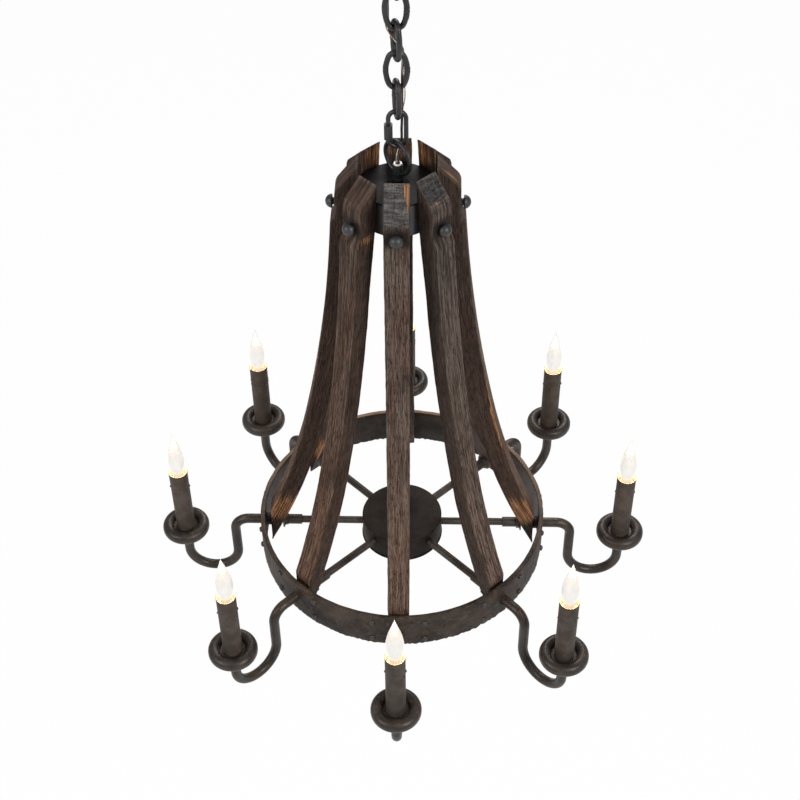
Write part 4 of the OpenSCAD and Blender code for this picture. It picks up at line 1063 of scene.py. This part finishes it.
spoke_long = coupling_out - coupling_long / 2 - 0.5 - pipe_in
points, faces = threaded(spoke_long, pipe / 2)
round_the_axis("spokes_threaded", laid(points), faces, pipe_in, spoke_height, spoke_paint,
               ("spokes",))
points, faces = turned(eased([
    (pipe_hole, 0), (coupling_thick / 2, 0, 0.9), (coupling_thick / 2, coupling_long, 0.9),
    (pipe_hole, coupling_long)], 0.3), 40)
round_the_axis("couplings_turned", laid(points), faces, coupling_out - coupling_long, spoke_height,
               spoke_paint, ("couplings",))
nut_points, nut_faces = hex_nut(nut_flats, nut_thick, pipe + 0.1, steps=48)
round_the_axis("foot_nuts", laid(nut_points), nut_faces, coupling_out + nut_seat, spoke_height,
               spoke_paint, ("locknuts",), any_roll, seed=11, edge=nut_edge)
stem_nuts = [drum_top - sheet - nut_seat, drum_bottom + sheet + nut_seat, drum_bottom - nut_seat,
             hub_top + nut_seat, hub_top - sheet - nut_seat]
for k, level in enumerate(stem_nuts):
    solid_piece(f"stem_nut_{k + 1}", stand(nut_points, 17 * k, level), nut_faces, dark_iron,
                "fixture", ("locknuts",), nut_edge)
washer_steel = iron_finish("dull washer steel", (0.050, 0.044, 0.038), (0.120, 0.108, 0.095),
                           (0.075, 0.050, 0.036), rough=0.5, grain=0.00005, wear=0.7)
eased_copy("washers", washer_steel, "fixture", 0.15)

# ---- Hoop and its rivets ----
# A barrel hoop of flat iron bar, its faces hammered and its lower edge left ragged. Two domed
# rivets stand one over the other on each side of every arm.

hoop_out, hoop_in, hoop_tall, hoop_middle = 184.5, 178.0, 50.8, -863.5
hoop_iron = iron_finish("hammered hoop iron", (0.016, 0.012, 0.010), (0.050, 0.040, 0.033),
                        (0.092, 0.064, 0.044), rough=0.56, grain=0.00012, dents=0.0012, wear=0.75,
                        shine=0.18)


def hoop_mesh():
    """The hoop: a ring of flat bar with dented faces and a ragged lower edge."""
    steps, half = 1500, hoop_tall / 2
    outline = [(hoop_out, z) for z in np.linspace(-half + 1.0, half - 1.0, 15)]
    outline += [(hoop_out - 0.3, half - 0.3), (hoop_out - 1.0, half),
                (hoop_in + 1.0, half), (hoop_in + 0.3, half - 0.3)]
    outline += [(hoop_in, z) for z in np.linspace(half - 1.0, -half + 1.0, 12)]
    outline += [(hoop_in + 0.3, -half + 0.3), (hoop_in + 1.0, -half),
                (hoop_out - 1.0, -half), (hoop_out - 0.3, -half + 0.3)]
    points, rubbed_and_highlit = [], []
    for i in range(steps):
        a = 2 * math.pi * i / steps
        c, s = math.cos(a), math.sin(a)
        for r, z in outline:
            spot = Vector((r * c, r * s, z))
            dent = noise.noise(spot / 15.0) * 0.45 + noise.noise(spot / 5.5) * 0.28
            low = min(max((9 - z - half) / 9, 0.0), 1.0)
            high = min(max((5 + z - half) / 5, 0.0), 1.0)
            if r > (hoop_in + hoop_out) / 2:
                dent -= low * (0.9 * abs(noise.noise(spot / 6.0)) + 0.35)
                r = r - 0.35 + min(dent, 0.35)
            else:
                r = r + 0.3 - 0.6 * abs(dent) + low * 0.2
            notch, tooth, sway = (
                noise.noise(Vector((c * hoop_out, s * hoop_out, level)) / coarse)
                for level, coarse in ((40, 5.0), (90, 2.6), (7, 18.0)))
            edge = z + max(low * (1.5 * notch + 0.8 * tooth), -0.9) + high * (0.35 * sway - 0.1)
            points.append((r * c, r * s, hoop_middle + edge))
            # The top edge is rubbed brown, with a painted highlight that grows towards the back.
            rubbed_and_highlit.append(max(0.0, (z - half + 1.6) / 1.6) * (0.36 + 0.34 * s))
    return points, turned_faces(len(outline), steps), rubbed_and_highlit


points, faces, rubbed_and_highlit = hoop_mesh()
hoop = solid_piece("hoop_hammered", points, faces, hoop_iron, "fixture", ("hoop",),
                   math.radians(60))
marked(hoop.data, "rubbed_and_highlit_edge", rubbed_and_highlit)


def rivet_tree():
    """Domed heads on the hoop: two levels on both sides of each arm, no two quite alike."""
    work, given = new_tree("rivets", {
        "Hoop radius": "Float", "Middle": "Float", "Pitch": "Float", "Half angle": "Float",
        "Arms": "Int", "Seed": "Int", "Material": "Material"})
    number = work.node("GeometryNodeInputIndex")
    quarter = work.node("ShaderNodeMath", {"operation": "FLOOR"}, {0: number / 4.0 + 0.001})
    rest = number - quarter * 4.0
    upper = rest.step(1.4, 1.6) * 2.0 - 1.0
    odd = (rest - (upper + 1.0)) * 2.0 - 1.0
    angle = (quarter * (2 * math.pi)) / given["Arms"] + odd * given["Half angle"] - math.pi / 2
    spots = work.node("GeometryNodePoints", None, {
        "Count": given["Arms"] * 4.0,
        "Position": work.point(angle.maths("COSINE", angle) * given["Hoop radius"],
                               angle.sine() * given["Hoop radius"],
                               given["Middle"] + upper * given["Pitch"] * 0.5)})
    chance = work.node("FunctionNodeRandomValue", {"data_type": "FLOAT"}, {
        2: -1.0, 3: 1.0, "Seed": given["Seed"]}, 1)
    heads = work.node("GeometryNodeInstanceOnPoints", None, {
        "Points": spots, "Instance": given["Geometry"],
        "Rotation": work.point(chance * any_roll, 0.0, angle),
        "Scale": work.point(0.95 + chance * 0.05, 0.97 + chance * 0.03, 0.97 + chance * 0.03)})
    return close_tree(work, heads)


head_radius, head_tall, rivet_pitch, rivet_angle = 3.75, 2.8, 29.0, math.radians(10.1)
head_outline = [(0.0, head_tall)] + [
    (head_radius * math.sin(a), head_tall * math.cos(a) ** 0.8)
    for a in np.linspace(0, math.radians(86), 9)[1:]] + [(head_radius, -0.8), (0.0, -0.8)]
points, faces = turned(head_outline, 20)
rivet_mesh = grown("rivets", rivet_tree(), welded("rivet", laid(points), faces),
                   hoop_radius=hoop_out * MM, middle=hoop_middle * MM, pitch=rivet_pitch * MM,
                   half_angle=rivet_angle, arms=stave_count, seed=5, material=hoop_iron)
dressed("hoop_rivets_domed", rivet_mesh, cap_iron, "fixture", ("hoop_rivets",),
        math.radians(60))

# ---- Gooseneck arms ----
# Eight arms of bent round tube: out through the hoop, down, round a U and up under the pan, where
# a thin threaded tip goes on into the sleeve. Dark paint, a little shinier than the hoop's.

arm_tube, candle_radius, bend_radius, u_radius, arm_fall = 12.7, 287.0, 19.0, 32.8, 41.7
pan_floor, tip_radius = -14.0, 4.85
arm_paint = iron_finish("arm paint", (0.024, 0.019, 0.016), (0.045, 0.037, 0.031),
                        (0.085, 0.060, 0.042), rough=0.38, grain=0.00007, dents=0.0005, wear=0.55)
limb = candle_radius - 2 * u_radius
u_level = -bend_radius - arm_fall
arm_line = [(x, 0) for x in np.linspace(hoop_out - 5, limb - bend_radius, 8)]
arm_line += arc(limb - bend_radius, -bend_radius, bend_radius, math.pi / 2, 0, 14)[1:]
arm_line += [(limb, z) for z in np.linspace(-bend_radius, u_level, 7)[1:]]
arm_line += arc(limb + u_radius, u_level, u_radius, math.pi, 2 * math.pi, 34)[1:]
arm_line += [(candle_radius, z) for z in np.linspace(u_level, pan_floor - 2.1, 8)[1:]]
points, faces = ring_round(upright(arm_line), arm_tube / 2, 28)
round_the_axis("arms_bent", points, faces, 0, spoke_height, arm_paint,
               tuple(f"arm_{k}" for k in range(1, stave_count + 1)))
tip_line = [(0, 0, z) for z in np.linspace(pan_floor - 3, pan_floor + 8.9, 6)]
points, faces = ring_round(tip_line, tip_radius, 24)
round_the_axis("arm_tips", points, faces, candle_radius, spoke_height, zinc_plate, ())

# ---- Drip pans ----
# Shallow iron pans with a fat rolled brim round a flat floor, on the ends of the arms. The paint
# is dark, and rubbed brown in patches.

pan_sheet, brim_middle, brim_out, brim_in = 2.0, 23.1, 7.4, 5.4
brim_high, brim_low, brim_lip = -0.5, -2.5, 25.1
pan_paint = iron_finish("pan paint", (0.023, 0.018, 0.015), (0.047, 0.038, 0.032),
                        (0.098, 0.066, 0.045), rough=0.40, dents=0.0004, wear=0.6)
lip_turn = math.acos((brim_lip - brim_middle) / brim_in)
brim_turn = math.acos((brim_lip - brim_middle) / brim_out)
pan_outline = [(pipe_hole, -pan_sheet), (brim_middle - brim_in, -pan_sheet)]
pan_outline += arc(brim_middle, brim_high, brim_in, math.pi, 0, 22)
pan_outline += arc(brim_middle, brim_low, brim_in, 0, -lip_turn, 9)
pan_outline += arc(brim_middle, brim_low, brim_out, -brim_turn, 0, 10)
pan_outline += arc(brim_middle, brim_high, brim_out, 0, math.pi - 0.12, 30)
pan_outline += [(brim_middle - brim_out - 0.25, 0.12), (brim_middle - brim_out - 1.0, 0.0),
                (pipe_hole, 0.0)]
points, faces = turned(pan_outline, 96)
round_the_axis("drip_pans_spun", points, faces, candle_radius, spoke_height + pan_floor, pan_paint,
               ("drip_pans",), roll_z=any_roll)

# ---- Candle sleeves and sockets ----
# Paper-card sleeves painted dark brown with wax-like drips a quarter of the way down, over
# porcelain sockets. Their inside is bare and pale, with a painted gold glow near the rim that
# stands in for the lamp's light.

sleeve_radius, sleeve_tall, sleeve_wall = 12.0, 101.6, 1.0
sleeve_foot = spoke_height + pan_floor + 0.02


def sleeve_finish():
    """Matt dark brown paint with a fine grain, and pale card inside with a painted gold glow at
    the rim.
    """
    sleeve = Finish("sleeve paint", specular_ior_level=0.2, roughness=0.6, emission_strength=1.0)
    place = sleeve.place()
    inside, up = sleeve.mark("inside"), sleeve.mark("rim")
    cloudy = sleeve.cloud(place, 60.0, 4.0, 0.6)
    grain = sleeve.cloud(place, 1100.0, 2.0, 0.6)
    coat = sleeve.mixed(cloudy.step(0.35, 0.7), (0.042, 0.033, 0.027), (0.073, 0.058, 0.047))
    coat = sleeve.mixed(grain.step(0.58, 0.75) * 0.5, coat, (0.030, 0.024, 0.020))
    card = sleeve.mixed(cloudy, (0.52, 0.40, 0.24), (0.70, 0.58, 0.40))
    # Painted glow: the lamp's gold light painted by emission on the inside near the rim.
    painted_glow_colour = sleeve.mixed(up, (0.30, 0.10, 0.02), (1.0, 0.72, 0.36))
    lit = sleeve.mixed(inside * up, (0.0, 0.0, 0.0), painted_glow_colour)
    return sleeve.set(base_color=sleeve.mixed(inside, coat, card), emission_color=lit,
                      normal=sleeve.relief(grain, 0.00009))


sleeve_paint = sleeve_finish()
drips = ((-2.95, 76.0, 1.0), (-2.35, 74.2, 0.8), (-1.75, 73.0, 1.15), (-1.15, 73.4, 0.85),
         (-0.55, 72.9, 1.0), (-0.05, 75.0, 1.1), (0.55, 74.0, 0.8), (1.25, 73.5, 1.0),
         (1.95, 75.5, 0.9), (2.55, 73.8, 1.05))


def sleeve_mesh(index):
    """A thin tube with a rounded rim and small drips on its outer face."""
    steps = 72
    levels = np.concatenate([[0.0, 0.5], np.arange(6, 66, 8.0), np.arange(67, 80, 0.5),
                             np.arange(81, sleeve_tall - 0.6, 2.0),
                             [sleeve_tall - 0.45, sleeve_tall - 0.1]])
    inner = sleeve_radius - sleeve_wall
    # Each point: radius, height, whether it is inside, and its share of painted glow, full at the
    # rim and fading 14 mm down.
    outline = [(sleeve_radius, z, 0.0, 0.0) for z in levels]
    outline += [(sleeve_radius - 0.3, sleeve_tall, 0.0, 0.0),
                (sleeve_radius - 0.38, sleeve_tall, 1.0, 1.0),
                (inner + 0.15, sleeve_tall, 1.0, 1.0)]
    outline += [(inner, z, 1.0, max(0.0, 1 - (sleeve_tall - z) / 14.0) ** 1.5)
                for z in (*np.linspace(sleeve_tall - 0.4, sleeve_tall - 14, 8), 40.0, 0.0)]
    turn, spin = arm_angle(index), 2.1 * index
    centre = Vector((candle_radius * math.cos(turn), candle_radius * math.sin(turn), sleeve_foot))
    points, marks = [], []
    for i in range(steps):
        a = 2 * math.pi * i / steps
        for r, z, inside, up in outline:
            swell = 0.0
            if not inside:
                for where, level, size in drips:
                    gap = (a - where - spin + math.pi) % (2 * math.pi) - math.pi
                    down = z - level
                    across = gap * sleeve_radius / (1.05 * size)
                    length = down / (2.9 * size) if down > 0 else down / size
                    bead = max(0.0, 1 - across ** 2 - length ** 2) ** 0.5
                    swell = max(swell, size * 1.25 * bead)
            far = r + swell
            points.append(centre + Vector((far * math.cos(a), far * math.sin(a), z)))
            marks.append((inside, up))
    return points, turned_faces(len(outline), steps), marks


sleeve_points, sleeve_faces, sleeve_marks = [], [], []
for k in range(stave_count):
    points, faces, marks = sleeve_mesh(k)
    start = len(sleeve_points)
    sleeve_points += points
    sleeve_faces += [tuple(v + start for v in f) for f in faces]
    sleeve_marks += marks
sleeve_all = plain_mesh("sleeves", sleeve_points, sleeve_faces)
marked(sleeve_all, "inside", [m[0] for m in sleeve_marks])
marked(sleeve_all, "rim", [m[1] for m in sleeve_marks])
dressed("candle_sleeves_dripped", sleeve_all, sleeve_paint, "fixture", ("candle_sleeves",),
        math.radians(50))
eased_copy("lamp_sockets", white_porcelain, "fixture", 0.3)
cad_nodes["inner_wires"].data.materials.clear()
cad_nodes["inner_wires"].data.materials.append(brown_cord)

# ---- Flame bulbs ----
# Clear flame-tip lamps on a brass candelabra base, lit: the glass is bright in the middle, warm
# where it goes into the sleeve, and thin and grey at its drawn tip.

bulb_foot, bulb_wide, bulb_tip = -785.0, -757.4, -708.4
bulb_radius, bulb_neck = 10.8, 7.0
base_radius, base_groove, base_rim, base_pitch = 5.95, 5.5, 6.35, 2.1


def glass_finish():
    """Lit clear glass: more see-through towards the tip, with a soft glow from the filament."""
    glass = Finish("lit bulb glass", roughness=0.12, specular_ior_level=0.6,
                   emission_strength=0.92, base_color=(0.05, 0.048, 0.045, 1))
    height = glass.mark("up_the_glass")
    ripple = glass.cloud(glass.place((1, 1, 0.35)), 240.0, 3.0, 0.6, 0.5)
    edge = glass.node("ShaderNodeLayerWeight", None, {"Blend": 0.35}, 1)
    body = glass.mixed(ripple.step(0.35, 0.70), (0.86, 0.82, 0.77), (0.99, 0.97, 0.94))
    core = height.maths("ABSOLUTE", height - 0.34)
    body = glass.mixed(core.step(0.30, 0.02) * (1.0 - edge) * 0.8, body, (1.0, 0.99, 0.96))
    body = glass.mixed(height.step(0.22, 0.02), body, (1.0, 0.60, 0.26))
    body = glass.mixed(height.step(0.50, 1.0) * 0.7, body, (0.74, 0.72, 0.70))
    body = glass.mixed(edge * 0.75, body, (0.50, 0.46, 0.41))
    return glass.set(emission_color=body, alpha=1.0 - height.step(0.45, 1.05) * 0.3,
                     normal=glass.relief(ripple, 0.0002))


def brass_finish():
    """Thin brass, dull at its thread."""
    brass = Finish("lamp brass", metallic=1.0)
    dull = brass.cloud(brass.place(), 380.0, 3.0)
    return brass.set(base_color=brass.mixed(dull, (0.42, 0.29, 0.11), (0.62, 0.46, 0.20)),
                     roughness=dull * 0.3 + 0.22)


bulb_glass, lamp_brass = glass_finish(), brass_finish()
glass_line = [(bulb_neck + (bulb_radius - bulb_neck) * math.sin(math.pi / 2 * t) ** 2,
               bulb_foot + (bulb_wide - bulb_foot) * t) for t in np.linspace(0, 1, 16)]
glass_line += [(bulb_radius * math.cos(math.pi / 2 * t) ** 1.2,
                bulb_wide + (bulb_tip - bulb_wide) * t) for t in np.linspace(0, 1, 34)[1:-1]]
glass_line.append((0.0, bulb_tip))
base_outline = [(base_radius, bulb_foot - 17)]
for k in range(7):
    z = bulb_foot - 16 + base_pitch * k
    base_outline += [(base_radius, z), (base_groove, z + 1.0)]
base_outline += [(base_radius, bulb_foot - 1), (base_rim, bulb_foot + 0.4),
                 (base_rim, bulb_foot + 3), (0.0, bulb_foot + 3), (0.0, bulb_foot - 20),
                 (2.5, bulb_foot - 20), (2.5, bulb_foot - 19)]
glass_steps, n = 40, len(glass_line)
glass_faces = [(i * n + j, (i + 1) % glass_steps * n + j, (i + 1) % glass_steps * n + j + 1,
                i * n + j + 1) for i in range(glass_steps) for j in range(n - 1)]
glass_faces.append(tuple(i * n for i in range(glass_steps))[::-1])
for k in range(1, stave_count + 1):
    turn = arm_angle(k - 1)
    x0, y0 = candle_radius * math.cos(turn), candle_radius * math.sin(turn)
    points = []
    for i in range(glass_steps):
        a = 2 * math.pi * i / glass_steps
        points += [(x0 + r * math.cos(a), y0 + r * math.sin(a), z) for r, z in glass_line]
    glass = solid_piece(f"bulb_glass_{k}", points, glass_faces, bulb_glass, f"bulb_{k}",
                        (f"bulb_{k}",))
    tall = (bulb_tip - bulb_foot) * MM
    marked(glass.data, "up_the_glass",
           [(v.co.z - bulb_foot * MM) / tall for v in glass.data.vertices])
    glass.visible_shadow = False
    points, faces = turned(base_outline, 32)
    points = [(x + x0, y + y0, z) for x, y, z in points]
    solid_piece(f"bulb_base_{k}", points, faces, lamp_brass, f"bulb_{k}", (f"bulb_{k}",))
    lamp = lamp_at((x0 * MM, y0 * MM, (bulb_wide + 6) * MM), f"bulb light {k}", "POINT", 0.26,
                   (1.0, 0.62, 0.32))
    lamp.data.shadow_soft_size = 0.008
